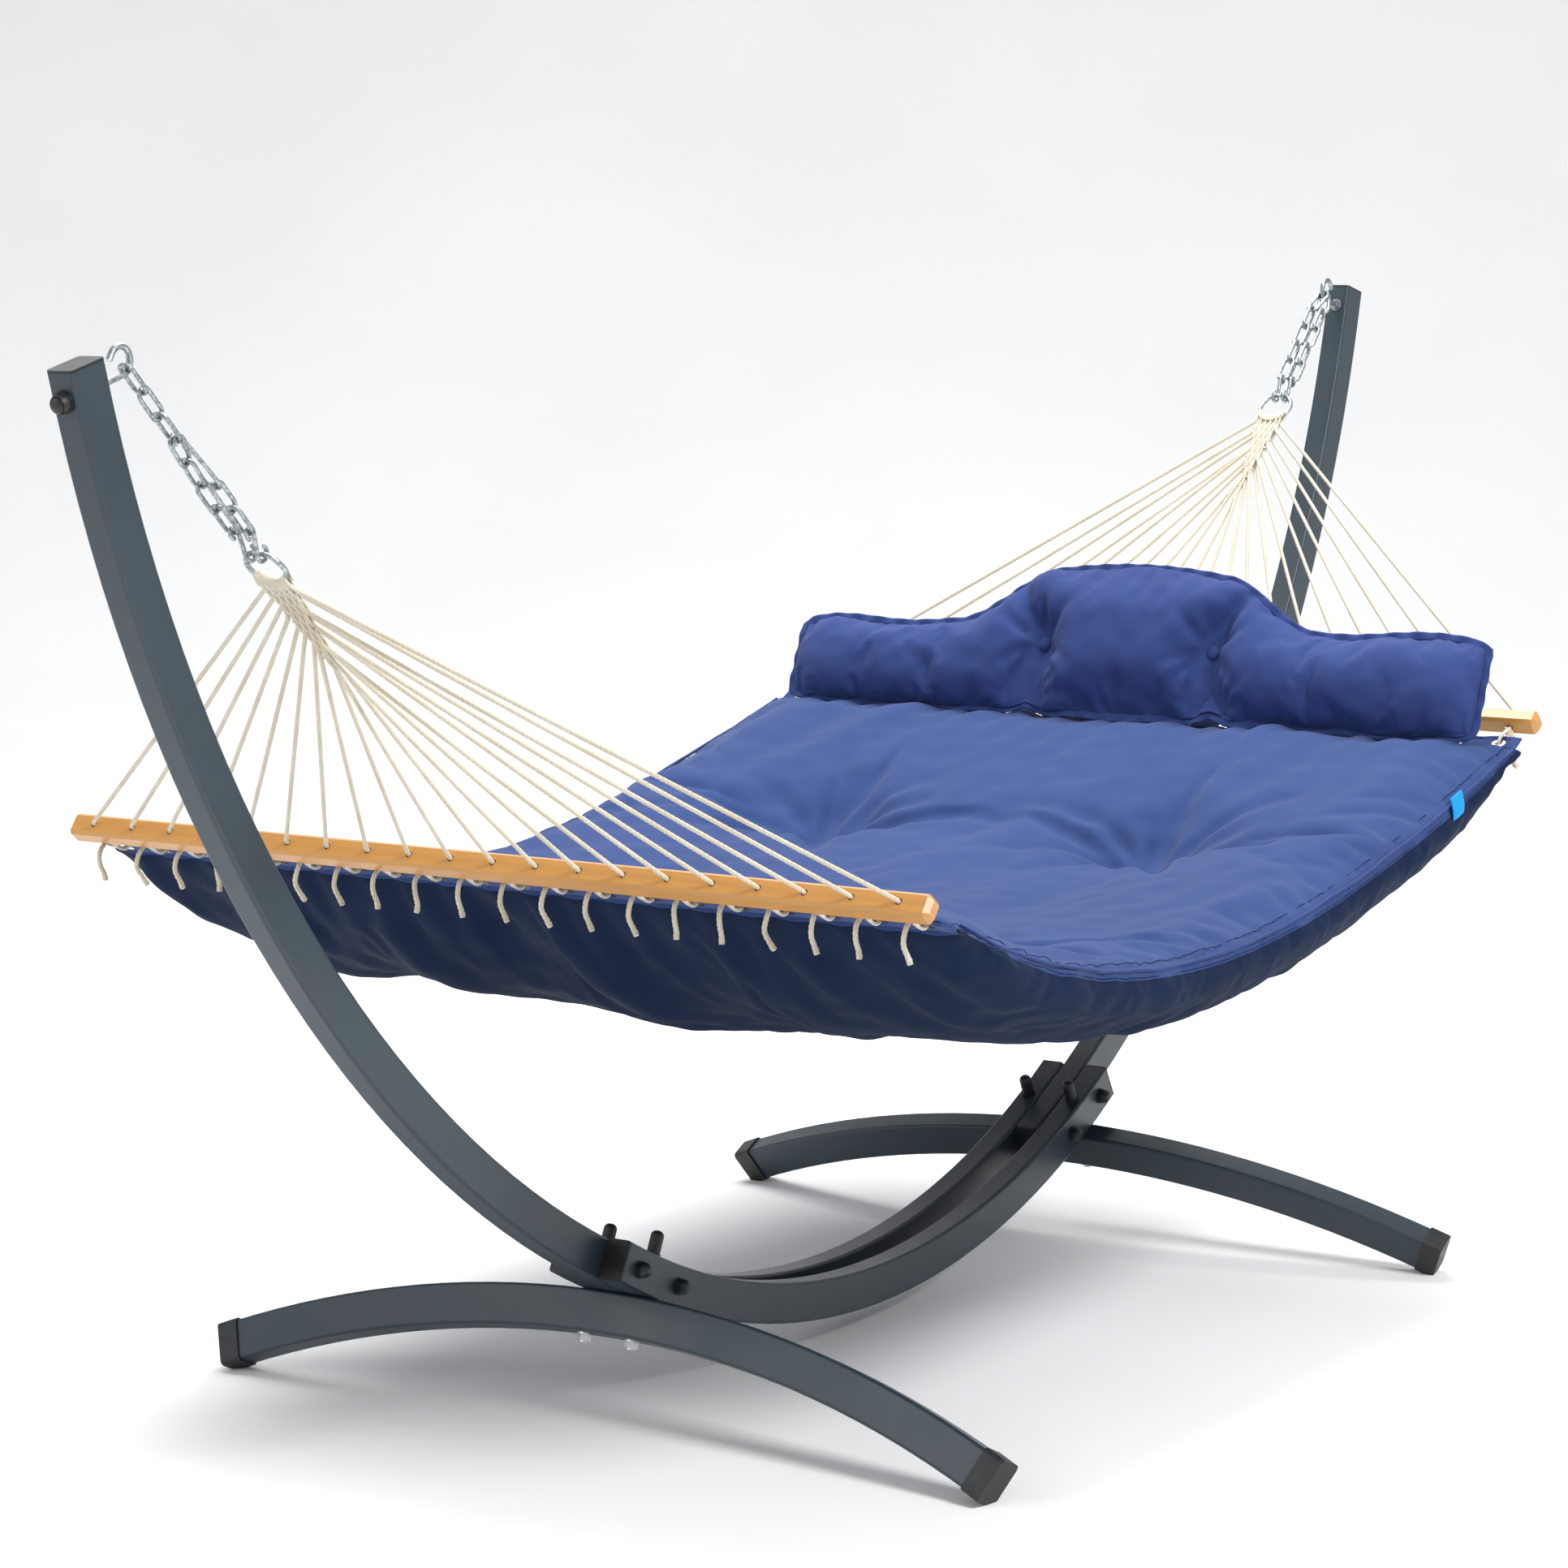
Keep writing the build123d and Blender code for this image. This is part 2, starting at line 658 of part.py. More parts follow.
def rope_loop(side, number):
    """The rope's bight, from its knot through its grommet and back."""
    way, normal = hem_way(side)
    knot = knot_centre(side, number)
    start = knot + way * (knot_radius - 2)
    finish = knot + way * (loop_length - loop_half_width)
    lift = normal * loop_half_width
    path = Wire([Line(start + normal * 3.4, finish - way * 12 + lift).edge(),
                 Line(finish - way * 12 + lift, finish + lift).edge(),
                 ThreePointArc(finish + lift, finish + way * loop_half_width, finish - lift).edge(),
                 Line(finish - lift, finish - way * 12 - lift).edge(),
                 Line(finish - way * 12 - lift, start - normal * 3.4).edge()])
    tube = sweep(Plane(origin=path.position_at(0), z_dir=path.tangent_at(0)) * Circle(rope_radius - 0.2),
                 path=path, transition=Transition.ROUND)
    return tube - Pos(*knot) * Sphere(knot_radius) - cylinder(rope_radius + 0.1, knot, knot - Vector(0, 0, 30))


def tail(side, number):
    """The rope's free end below its knot, with a melted tip."""
    top = knot_centre(side, number)
    low = top - Vector(0, 0, tail_length)
    end = cylinder(rope_radius + 0.8, low, low - Vector(0, 0, 4))
    return (cylinder(rope_radius, top, low) + end) - Pos(*top) * Sphere(knot_radius)


def make_ropes():
    for word, side in (("left", -1), ("right", 1)):
        numbers = range(rope_count)
        clew = weave(side)
        save(f"ring_{word}", ring(side))
        save(f"clew_weave_{word}", clew)
        knots = [Pos(*knot_centre(side, number)) * Sphere(knot_radius) for number in numbers]
        save(f"suspension_ropes_{word}", [rope(side, n) - clew - knots[n] for n in numbers])
        save(f"rope_knots_{word}", knots)
        save(f"rope_loops_{word}", [rope_loop(side, number) for number in numbers])
        save(f"rope_tails_{word}", [tail(side, number) for number in numbers])
        save(f"spreader_bar_{word}", spreader_bar(side))


def side_height(x):
    """The height of the top of the pad's sides."""
    part = x / pad_half_length
    return pad_low + pad_rise * part ** 2 + pad_skew * part - pad_skew_back * part ** 3


def pad_section(y, depth, thickness):
    """The pad's outline at one width, lower than its sides by a depth."""
    tops, lows = [], []
    for part in (-1, -0.93, -0.7, -0.35, 0, 0.35, 0.7, 0.93, 1):
        x = part * pad_half_length
        full = 1 - abs(part) ** 2
        here = pad_end_thickness + (thickness - pad_end_thickness) * min(1, full * 2.6)
        top = side_height(x) - depth * full
        tops.append((x, y, top))
        lows.append((x, y, top - here))
    upper = Spline(*tops).edge()
    lower = Spline(*lows).edge()
    ends = [Line(tops[-1], lows[-1]).edge(), Line(lows[0], tops[0]).edge()]
    return make_face(Wire([upper, ends[0], lower, ends[1]]).edges())


def bed_pad():
    sections = []
    for part in (-1, -0.6, 0, 0.6, 1):
        inner = 1 - part ** 2
        thickness = pad_side_thickness if abs(part) == 1 else pad_thickness
        sections.append(pad_section(part * pad_half_width, pad_hollow * inner, thickness))
    return loft(sections, ruled=True)


def hem(side):
    """The flat strip along the pad's end that holds the grommets."""
    way, normal = hem_way(side)
    middle = grommet_centre(side, 0)
    start = Vector(middle.X, 0, middle.Z) - way * (loop_length - 19)
    plane = Plane(origin=start + way * hem_width / 2, x_dir=way, z_dir=normal)
    strip = plane * Box(hem_width, 2 * hem_half_length, hem_thickness)
    limit = Pos(side * (pad_half_length + 0.1 + 500), 0, 0) * Box(1000, 4000, 4000)
    holes = [cylinder(grommet_hole_radius + 1.6, grommet_centre(side, number) - normal * 10,
                      grommet_centre(side, number) + normal * 10) for number in range(rope_count)]
    return (strip & limit) - holes


def grommet(side, number):
    normal = hem_way(side)[1]
    centre = grommet_centre(side, number)
    flange = ring_shape(grommet_radius, grommet_hole_radius, centre - normal * grommet_height / 2,
                        normal, grommet_height)
    slot = ring_shape(grommet_radius + 1, grommet_hole_radius + 1.6, centre - normal * hem_thickness / 2,
                      normal, hem_thickness)
    return flange - slot


def side_tag():
    z = side_height(tag_x)
    tilt = math.degrees(math.atan2(side_height(tag_x + 10) - side_height(tag_x - 10), 20))
    place = Pos(tag_x, -pad_half_width - tag_thickness / 2 - 0.1, z - tag_height / 2 + 9)
    return place * Rot(0, -tilt, 0) * Box(tag_length, tag_thickness, tag_height)


def make_bed():
    save("bed_pad", bed_pad())
    save("side_tag", side_tag())
    for word, side in (("left", -1), ("right", 1)):
        save(f"bed_hem_{word}", hem(side))
        save(f"grommets_{word}", [grommet(side, number) for number in range(rope_count)])


# ---- pillow ----------------------------------------------------------------------------------
def pillow_plane():
    """The pillow's upright plane, leaning back: X runs along Y, Y runs up the pillow."""
    lean = math.radians(pillow_lean)
    up = Vector(math.sin(lean), 0, math.cos(lean))
    return Plane(origin=(pillow_x, 0, pillow_bottom), x_dir=(0, -1, 0), z_dir=Vector(0, -1, 0).cross(up))


def pillow_outline():
    """Long low wings with a raised round middle."""
    mid = (pillow_shoulder + pillow_dome_half) / 2
    rise = (pillow_dome_height + pillow_wing_height) / 2
    half = [(pillow_half_length, 0), (pillow_half_length, pillow_wing_height),
            (pillow_shoulder, pillow_wing_height), (mid, rise), (pillow_dome_half, pillow_dome_height)]
    points = half + [(-x, y) for x, y in reversed(half)]
    face = make_face(Polyline(*points, close=True).edges())
    return fillet(face.vertices(), pillow_corner)


def pillow():
    body = extrude(pillow_outline(), pillow_thickness / 2, both=True)
    rims = [edge for edge in body.edges() if abs(abs(edge.center().Z) - pillow_thickness / 2) < 0.1]
    body = fillet(rims, 26)
    wells = [Pos(y, button_height, pillow_thickness / 2) * Cylinder(button_radius + 3, 2 * button_sink)
             for y in (-button_y, button_y)]
    return pillow_plane() * (body - wells)


def buttons():
    depth = pillow_thickness / 2 - button_sink + button_thickness / 2
    return [pillow_plane() * (Pos(y, button_height, depth) * Cylinder(button_radius, button_thickness))
            for y in (-button_y, button_y)]


def make_pillow():
    save("pillow", pillow())
    save("pillow_buttons", buttons())


if __name__ == "__main__":
    os.makedirs("parts", exist_ok=True)
    make_stand()
    make_joint_fasteners()
    make_foot_fasteners()
    make_hooks()
    make_chains()
    make_ropes()
    make_bed()
    make_pillow()
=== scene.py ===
"""A quilted hammock on a curved steel stand: its looks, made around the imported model.

X runs along the hammock, towards the pillow's end, Y across it and Z up, all in metres."""

import json
import math

import bmesh
import bpy
import numpy as np
from mathutils import Matrix, Vector, noise


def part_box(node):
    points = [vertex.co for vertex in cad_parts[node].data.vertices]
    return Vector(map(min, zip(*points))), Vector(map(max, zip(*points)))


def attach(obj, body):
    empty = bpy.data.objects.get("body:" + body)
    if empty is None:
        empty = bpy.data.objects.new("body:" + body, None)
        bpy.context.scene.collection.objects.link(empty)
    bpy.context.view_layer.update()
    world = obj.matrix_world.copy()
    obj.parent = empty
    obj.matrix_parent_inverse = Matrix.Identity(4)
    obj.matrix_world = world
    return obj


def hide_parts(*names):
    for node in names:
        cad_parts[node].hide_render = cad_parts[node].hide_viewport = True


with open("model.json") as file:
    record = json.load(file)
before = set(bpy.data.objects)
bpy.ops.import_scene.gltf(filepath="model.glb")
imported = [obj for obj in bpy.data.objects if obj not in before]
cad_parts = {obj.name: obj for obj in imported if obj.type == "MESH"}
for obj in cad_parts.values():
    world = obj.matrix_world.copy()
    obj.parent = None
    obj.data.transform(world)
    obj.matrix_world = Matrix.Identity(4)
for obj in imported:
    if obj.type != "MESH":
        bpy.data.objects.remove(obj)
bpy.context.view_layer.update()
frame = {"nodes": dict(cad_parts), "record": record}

bl_info = {
    "name": "Hammock on stand",
    "version": (1, 0, 0),
    "blender": (4, 5, 0),
    "location": "View3D > Sidebar > Hammock",
    "description": "Builds the ropes, bed, pillow, finishes and stage of a hammock on its stand",
    "category": "Add Mesh",
}

SIDES = {"left": -1, "right": 1}
MM = 0.001


# ---- small tools -----------------------------------------------------------------------------
def settings():
    return bpy.context.scene.hammock


def middle(node):
    low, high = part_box(node)
    return (Vector(low) + Vector(high)) / 2


def linear(colour):
    """An sRGB hex colour as linear RGBA."""
    parts = [int(colour[at:at + 2], 16) / 255 for at in (1, 3, 5)]
    return [part / 12.92 if part <= 0.04045 else ((part + 0.055) / 1.055) ** 2.4 for part in parts] + [1.0]


def add_node(tree, kind, sockets=None, **values):
    """Adds a node, sets its properties, and sets or links its sockets."""
    made = tree.nodes.new(kind)
    for key, value in values.items():
        setattr(made, key, value)
    for key, value in (sockets or {}).items():
        if isinstance(value, bpy.types.NodeSocket):
            tree.links.new(value, made.inputs[key])
        else:
            made.inputs[key].default_value = value
    return made


def new_material(name, **shader_values):
    """A material with a bare shader: its node tree and the shader."""
    material = bpy.data.materials.new(name)
    material.use_nodes = True
    tree = material.node_tree
    tree.nodes.clear()
    shader = add_node(tree, "ShaderNodeBsdfPrincipled", shader_values)
    output = add_node(tree, "ShaderNodeOutputMaterial", {"Surface": shader.outputs[0]})
    output.is_active_output = True
    return material, tree, shader


def add_piece(name, vertices, faces, materials, body, smooth=True):
    """A mesh piece that rides on a body."""
    mesh = bpy.data.meshes.new(name)
    mesh.from_pydata([tuple(v) for v in vertices], [], [tuple(f) for f in faces])
    mesh.validate()
    piece = bpy.data.objects.new(name, mesh)
    bpy.context.scene.collection.objects.link(piece)
    for material in materials:
        mesh.materials.append(bpy.data.materials[material])
    mesh.polygons.foreach_set("use_smooth", [smooth] * len(mesh.polygons))
    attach(piece, body)
    return piece


def coordinates(mesh):
    found = np.empty(len(mesh.vertices) * 3)
    mesh.vertices.foreach_get("co", found)
    return found.reshape(-1, 3)


def set_coordinates(mesh, points):
    mesh.vertices.foreach_set("co", np.asarray(points, float).ravel())
    mesh.update()


def spline_points(route, resolution=10):
    """Points along the smooth line through a route."""
    curve = bpy.data.curves.new("route", "CURVE")
    curve.dimensions = "3D"
    spline = curve.splines.new("NURBS")
    spline.points.add(len(route) - 1)
    for point, place in zip(spline.points, route):
        point.co = (*place, 1.0)
    spline.order_u = 3
    spline.use_endpoint_u = True
    spline.resolution_u = resolution
    holder = bpy.data.objects.new("route", curve)
    mesh = bpy.data.meshes.new_from_object(holder)
    points = coordinates(mesh)
    bpy.data.objects.remove(holder)
    bpy.data.curves.remove(curve)
    bpy.data.meshes.remove(mesh)
    return points


def even_points(points, step):
    """The same line with points a step apart, and how far along it each is."""
    lengths = np.concatenate([[0], np.cumsum(np.linalg.norm(np.diff(points, axis=0), axis=1))])
    count = max(2, int(math.ceil(lengths[-1] / step)) + 1)
    at = np.linspace(0, lengths[-1], count)
    return np.stack([np.interp(at, lengths, points[:, axis]) for axis in range(3)], axis=1), at


def line_frames(points):
    """Two directions square to the line at each of its points, with no twist between them."""
    ahead = np.gradient(points, axis=0)
    ahead /= np.linalg.norm(ahead, axis=1)[:, None]
    start = np.cross(ahead[0], (0.31, 0.84, 0.44))
    normals = [start / np.linalg.norm(start)]
    for direction in ahead[1:]:
        normal = normals[-1] - direction * np.dot(normals[-1], direction)
        normals.append(normal / np.linalg.norm(normal))
    normals = np.array(normals)
    return normals, np.cross(ahead, normals)


def rope_mesh(points, radius, pitch, scale=None, phase=0.0, sides=12, strands=3):
    """Vertices and faces of a twisted rope along a line: strands that bulge as they wind round."""
    points, at = even_points(np.asarray(points), pitch / 8)
    normals, crosses = line_frames(points)
    turn = np.arange(sides) * 2 * math.pi / sides
    lobes = np.abs(np.cos(turn * strands / 2))
    profile = radius * (0.80 + 0.20 * lobes ** 0.7)
    angles = turn[None, :] + (2 * math.pi * at / pitch + phase)[:, None]
    reach = np.ones(len(at)) if scale is None else np.interp(at / at[-1], *scale)
    reach = profile[None, :] * reach[:, None]
    rings = (points[:, None, :] + normals[:, None, :] * (reach * np.cos(angles))[:, :, None]
             + crosses[:, None, :] * (reach * np.sin(angles))[:, :, None])
    vertices = [rings.reshape(-1, 3), points[:1], points[-1:]]
    base = np.arange(len(at) - 1)[:, None] * sides
    here = np.arange(sides)[None, :]
    nxt = (here + 1) % sides
    quads = np.stack([base + here, base + nxt, base + sides + nxt, base + sides + here], axis=2)
    quads = quads.reshape(-1, 4)
    first, last = len(at) * sides, len(at) * sides + 1
    caps = [(first, int(b), int(a)) for a, b in zip(here[0], nxt[0])]
    caps += [(last, int(a) + (len(at) - 1) * sides, int(b) + (len(at) - 1) * sides)
             for a, b in zip(here[0], nxt[0])]
    return np.concatenate(vertices), [tuple(quad) for quad in quads.tolist()] + caps


def merged(parts):
    """Several lots of vertices and faces as one."""
    vertices, faces, start = [], [], 0
    for points, lot in parts:
        vertices.append(np.asarray(points))
        faces += [tuple(index + start for index in face) for face in lot]
        start += len(points)
    return np.concatenate(vertices), faces


def ripple(point, size, seed=0.0):
    return noise.noise(Vector(point) / size + Vector((seed, seed * 0.7, -seed)))


def ripples(points, size, seed=0.0):
    return np.array([ripple(point, size, seed) for point in points])


def normals_of(mesh):
    found = np.empty(len(mesh.vertices) * 3)
    mesh.vertices.foreach_get("normal", found)
    return found.reshape(-1, 3)


# ---- sizes and colours -----------------------------------------------------------------------
class HammockSettings(bpy.types.PropertyGroup):
    """Sizes and colours of the hammock's soft parts, its finishes and its stage."""
    rope_radius: bpy.props.FloatProperty(
        name="Rope radius", description="Radius of the suspension ropes", default=3.2 * MM, unit="LENGTH")
    rope_lay: bpy.props.FloatProperty(
        name="Rope lay", description="Length of one turn of a strand", default=21 * MM, unit="LENGTH")
    rope_pitch: bpy.props.FloatProperty(
        name="Rope spacing", description="Between two holes of a bar", default=69 * MM, unit="LENGTH")
    rope_count: bpy.props.IntProperty(name="Ropes", description="Ropes at each end", default=20)
    weave_row: bpy.props.FloatProperty(
        name="Weave row", description="Between two rows of the woven clew", default=17 * MM, unit="LENGTH")
    tail_length: bpy.props.FloatProperty(
        name="Tail length", description="Free end of each rope below its knot", default=64 * MM,
        unit="LENGTH")
    puff: bpy.props.FloatProperty(
        name="Puff", description="How far the bed's filling swells the cover", default=30 * MM, unit="LENGTH")
    tuft_depth: bpy.props.FloatProperty(
        name="Tuft depth", description="How deep the bed's tufts are drawn in", default=24 * MM,
        unit="LENGTH")
    thread_spacing: bpy.props.FloatProperty(
        name="Thread spacing", description="Between two threads of the cover's weave", default=0.9 * MM,
        unit="LENGTH")
    coat_colour: bpy.props.StringProperty(
        name="Stand colour", description="sRGB colour of the powder coat", default="#25333C")
    bed_colour: bpy.props.StringProperty(
        name="Bed colour", description="sRGB colour of the bed's cover", default="#2D406E")
    # The underside's colour is the blue cover's colour darkened: painted shade, since the underside is the
    # same fabric as the top, in shadow.
    under_painted_shade_colour: bpy.props.StringProperty(
        name="Underside colour", description="sRGB colour of the bed's lower cover", default="#0E1D38")
    pillow_colour: bpy.props.StringProperty(
        name="Pillow colour", description="sRGB colour of the pillow's cover", default="#2E3E70")
    rope_colour: bpy.props.StringProperty(
        name="Rope colour", description="sRGB colour of the ropes", default="#C2B8A2")
    wood_colour: bpy.props.StringProperty(
        name="Wood colour", description="sRGB colour of the varnished bars", default="#B8823B")
    tag_colour: bpy.props.StringProperty(
        name="Tag colour", description="sRGB colour of the tag on the bed's edge", default="#0A86CC")


# ---- materials -------------------------------------------------------------------------------
def grain(tree, size_mm, detail=2.0, stretch=(1, 1, 1)):
    """Noise with features of a real size, in the object's own coordinates."""
    place = add_node(tree, "ShaderNodeTexCoord")
    scaled = add_node(tree, "ShaderNodeMapping", {"Vector": place.outputs["Object"], "Scale": stretch})
    return add_node(tree, "ShaderNodeTexNoise",
                    {"Vector": scaled.outputs[0], "Scale": 1 / (size_mm * MM), "Detail": detail})


def shaded(tree, factor, low, high, dark, light):
    """A colour between two, as a factor goes from low to high."""
    spread = add_node(tree, "ShaderNodeMapRange",
                      {"Value": factor, "From Min": low, "From Max": high, "To Min": 0.0, "To Max": 1.0})
    return add_node(tree, "ShaderNodeMix", {"Factor": spread.outputs[0], "A": dark, "B": light},
                    data_type="RGBA").outputs["Result"]


def between(tree, factor, low, high):
    spread = {"Value": factor, "From Min": 0.3, "From Max": 0.7, "To Min": low, "To Max": high}
    return add_node(tree, "ShaderNodeMapRange", spread).outputs[0]


def tint(colour, amount):
    """The colour, lighter or darker by an amount."""
    return [min(1.0, part * amount) for part in linear(colour)[:3]] + [1.0]


def powder_coat():
    """Polyester powder coat on steel, baked: satin, with a fine orange peel that breaks up the gloss."""
    _, tree, shader = new_material("satin_powder_coat", IOR=1.5)
    cloud = grain(tree, 160, 3)
    peel = grain(tree, 1.6, 1)        # real peel is about 0.8 mm; coarser here, so that it shows
    tree.links.new(shaded(tree, cloud.outputs[0], 0.3, 0.7, tint(settings().coat_colour, 0.9),
                          tint(settings().coat_colour, 1.12)), shader.inputs["Base Color"])
    tree.links.new(between(tree, cloud.outputs[0], 0.36, 0.46), shader.inputs["Roughness"])
    bump = add_node(tree, "ShaderNodeBump",
                    {"Height": peel.outputs[0], "Strength": 0.12, "Distance": 0.3 * MM})
    tree.links.new(bump.outputs[0], shader.inputs["Normal"])


def moulded_plastic():
    """Black polypropylene, injection moulded with a spark-eroded grain: matte, greyer where it is rubbed."""
    _, tree, shader = new_material("moulded_polypropylene", IOR=1.49)
    rub = grain(tree, 22, 4)
    pits = grain(tree, 1.1, 2)
    tree.links.new(shaded(tree, rub.outputs[0], 0.35, 0.75, linear("#101214"), linear("#24272A")),
                   shader.inputs["Base Color"])
    tree.links.new(between(tree, rub.outputs[0], 0.42, 0.58), shader.inputs["Roughness"])
    bump = add_node(tree, "ShaderNodeBump",
                    {"Height": pits.outputs[0], "Strength": 0.25, "Distance": 0.2 * MM})
    tree.links.new(bump.outputs[0], shader.inputs["Normal"])


def plated_steel(name, dark, light, spangle_mm, low, high):
    """Zinc on steel: a metal with patches of slightly different grey and gloss, as the zinc crystals lie."""
    _, tree, shader = new_material(name, Metallic=1.0)
    place = add_node(tree, "ShaderNodeTexCoord")
    patches = add_node(tree, "ShaderNodeTexVoronoi",
                       {"Vector": place.outputs["Object"], "Scale": 1 / (spangle_mm * MM)})
    film = grain(tree, 14, 4)
    factor = add_node(tree, "ShaderNodeMath", {0: patches.outputs["Distance"], 1: film.outputs[0]},
                      operation="MULTIPLY").outputs[0]
    tree.links.new(shaded(tree, factor, 0.05, 0.4, linear(light), linear(dark)), shader.inputs["Base Color"])
    tree.links.new(between(tree, film.outputs[0], low, high), shader.inputs["Roughness"])
    bump = add_node(tree, "ShaderNodeBump", {"Height": factor, "Strength": 0.2, "Distance": 0.2 * MM})
    tree.links.new(bump.outputs[0], shader.inputs["Normal"])


def varnished_pine():
    """Pine or rubberwood, planed and varnished: growth rings and pores along the bar under a clear coat."""
    _, tree, shader = new_material("varnished_pine", IOR=1.5)
    shader.inputs["Coat Weight"].default_value = 0.35
    shader.inputs["Coat Roughness"].default_value = 0.18
    colour = settings().wood_colour
    place = add_node(tree, "ShaderNodeTexCoord")
    turned = add_node(tree, "ShaderNodeMapping",
                      {"Vector": place.outputs["Object"], "Scale": (1.0, 0.045, 1.0),
                       "Rotation": (0.05, 0.6, 0.02)})
    rings = add_node(tree, "ShaderNodeTexWave",
                     {"Vector": turned.outputs[0], "Scale": 1 / (22 * MM) / 3, "Distortion": 5.0,
                      "Detail": 3.0, "Detail Scale": 1.2}, wave_type="BANDS", bands_direction="X")
    pores = grain(tree, 2.4, 3, (1.0, 0.04, 1.0))
    boards = grain(tree, 60, 2, (1.0, 0.2, 1.0))
    base = shaded(tree, rings.outputs["Fac"], 0.1, 0.9, tint(colour, 0.72), tint(colour, 1.06))
    fine = shaded(tree, pores.outputs[0], 0.35, 0.7, tint(colour, 0.70), tint(colour, 1.1))
    mixed = add_node(tree, "ShaderNodeMix", {"Factor": 0.42, "A": base, "B": fine}, data_type="RGBA")
    toned = add_node(tree, "ShaderNodeMix",
                     {"Factor": boards.outputs[0], "A": mixed.outputs["Result"], "B": tint(colour, 1.0)},
                     data_type="RGBA")
    tree.links.new(toned.outputs["Result"], shader.inputs["Base Color"])
    tree.links.new(between(tree, pores.outputs[0], 0.34, 0.5), shader.inputs["Roughness"])
    bump = add_node(tree, "ShaderNodeBump",
                    {"Height": pores.outputs[0], "Strength": 0.12, "Distance": 0.3 * MM})
    tree.links.new(bump.outputs[0], shader.inputs["Normal"])


def spun_rope():
    """Spun polyester rope: off-white fibres with a soft fuzz, with fine and broad tone that varies at random.
    """
    _, tree, shader = new_material("spun_polyester_rope", IOR=1.45)
    shader.inputs["Roughness"].default_value = 0.92
    shader.inputs["Sheen Weight"].default_value = 0.35
    colour = settings().rope_colour
    fibres = grain(tree, 1.5, 2)
    wear = grain(tree, 70, 3)
    body = shaded(tree, fibres.outputs[0], 0.3, 0.7, tint(colour, 0.82), tint(colour, 1.08))
    aged = shaded(tree, wear.outputs[0], 0.35, 0.7, linear("#C9BFA6"), linear("#E8E3D8"))
    mixed = add_node(tree, "ShaderNodeMix", {"Factor": 0.35, "A": body, "B": aged}, data_type="RGBA")
    tree.links.new(mixed.outputs["Result"], shader.inputs["Base Color"])
    bump = add_node(tree, "ShaderNodeBump",
                    {"Height": fibres.outputs[0], "Strength": 0.5, "Distance": 0.5 * MM})
    tree.links.new(bump.outputs[0], shader.inputs["Normal"])


def woven_cover(name, colour, sheen=0.08):
    """Spun polyester canvas, plain woven and dyed: matte, with a crossed thread pattern and a soft bloom."""
    _, tree, shader = new_material(name, IOR=1.45)
    shader.inputs["Roughness"].default_value = 0.88
    shader.inputs["Specular IOR Level"].default_value = 0.15
    shader.inputs["Sheen Weight"].default_value = sheen
    shader.inputs["Sheen Roughness"].default_value = 0.45
    threads = settings().thread_spacing
    place = add_node(tree, "ShaderNodeTexCoord")
    warp = add_node(tree, "ShaderNodeTexWave",
                    {"Vector": place.outputs["Object"], "Scale": 1 / threads / 20, "Distortion": 0.6},
                    wave_type="BANDS", bands_direction="Y")
    weft = add_node(tree, "ShaderNodeTexWave",
                    {"Vector": place.outputs["Object"], "Scale": 1 / threads / 20, "Distortion": 0.6},
                    wave_type="BANDS", bands_direction="DIAGONAL")
    weave = add_node(tree, "ShaderNodeMath", {0: warp.outputs["Fac"], 1: weft.outputs["Fac"]},
                     operation="MULTIPLY").outputs[0]
    slubs = grain(tree, 5, 3)
    fade = grain(tree, 260, 3)
    near = shaded(tree, slubs.outputs[0], 0.25, 0.75, tint(colour, 0.90), tint(colour, 1.08))
    far = shaded(tree, fade.outputs[0], 0.3, 0.7, tint(colour, 0.90), tint(colour, 1.12))
    mixed = add_node(tree, "ShaderNodeMix", {"Factor": 0.5, "A": near, "B": far}, data_type="RGBA")
    tree.links.new(mixed.outputs["Result"], shader.inputs["Base Color"])
    bump = add_node(tree, "ShaderNodeBump", {"Height": weave, "Strength": 0.18, "Distance": 0.3 * MM})
    creases = add_node(tree, "ShaderNodeBump", {"Height": slubs.outputs[0], "Strength": 0.16,
                                                "Distance": 0.8 * MM, "Normal": bump.outputs[0]})
    tree.links.new(creases.outputs[0], shader.inputs["Normal"])


def make_materials():
    powder_coat()
    moulded_plastic()
    plated_steel("zinc_plated_steel", "#7E8488", "#C3C8CB", 2.5, 0.28, 0.42)
    plated_steel("hot_dip_galvanised_steel", "#7D8486", "#BCC3C4", 4.0, 0.34, 0.52)
    plated_steel("nickel_plated_brass", "#A9A08C", "#DCD6C8", 1.5, 0.18, 0.3)
    varnished_pine()
    spun_rope()
    woven_cover("woven_polyester_blue", settings().bed_colour)
    # A darker copy of the blue cover with less sheen: painted shade for the gussets, the underside and the
    # pillow's tabs, which are the same fabric as the top.
    woven_cover("woven_polyester_blue_painted_shade", settings().under_painted_shade_colour, 0.02)
    woven_cover("woven_polyester_pillow", settings().pillow_colour)
    woven_cover("woven_label_tape", settings().tag_colour, 0.1)
    woven_cover("bonded_nylon_thread", "#1B2550", 0.0)


FINISHES = {
    "powder_coated_steel": "satin_powder_coat",
    "black_plastic": "moulded_polypropylene",
    "zinc_plated_steel": "zinc_plated_steel",
    "galvanised_steel": "hot_dip_galvanised_steel",
    "grommet_steel": "nickel_plated_brass",
    "varnished_wood": "varnished_pine",
    "twisted_rope": "spun_polyester_rope",
    "quilted_fabric": "woven_polyester_blue",
    "pillow_fabric": "woven_polyester_pillow",
    "tag_fabric": "woven_label_tape",
}


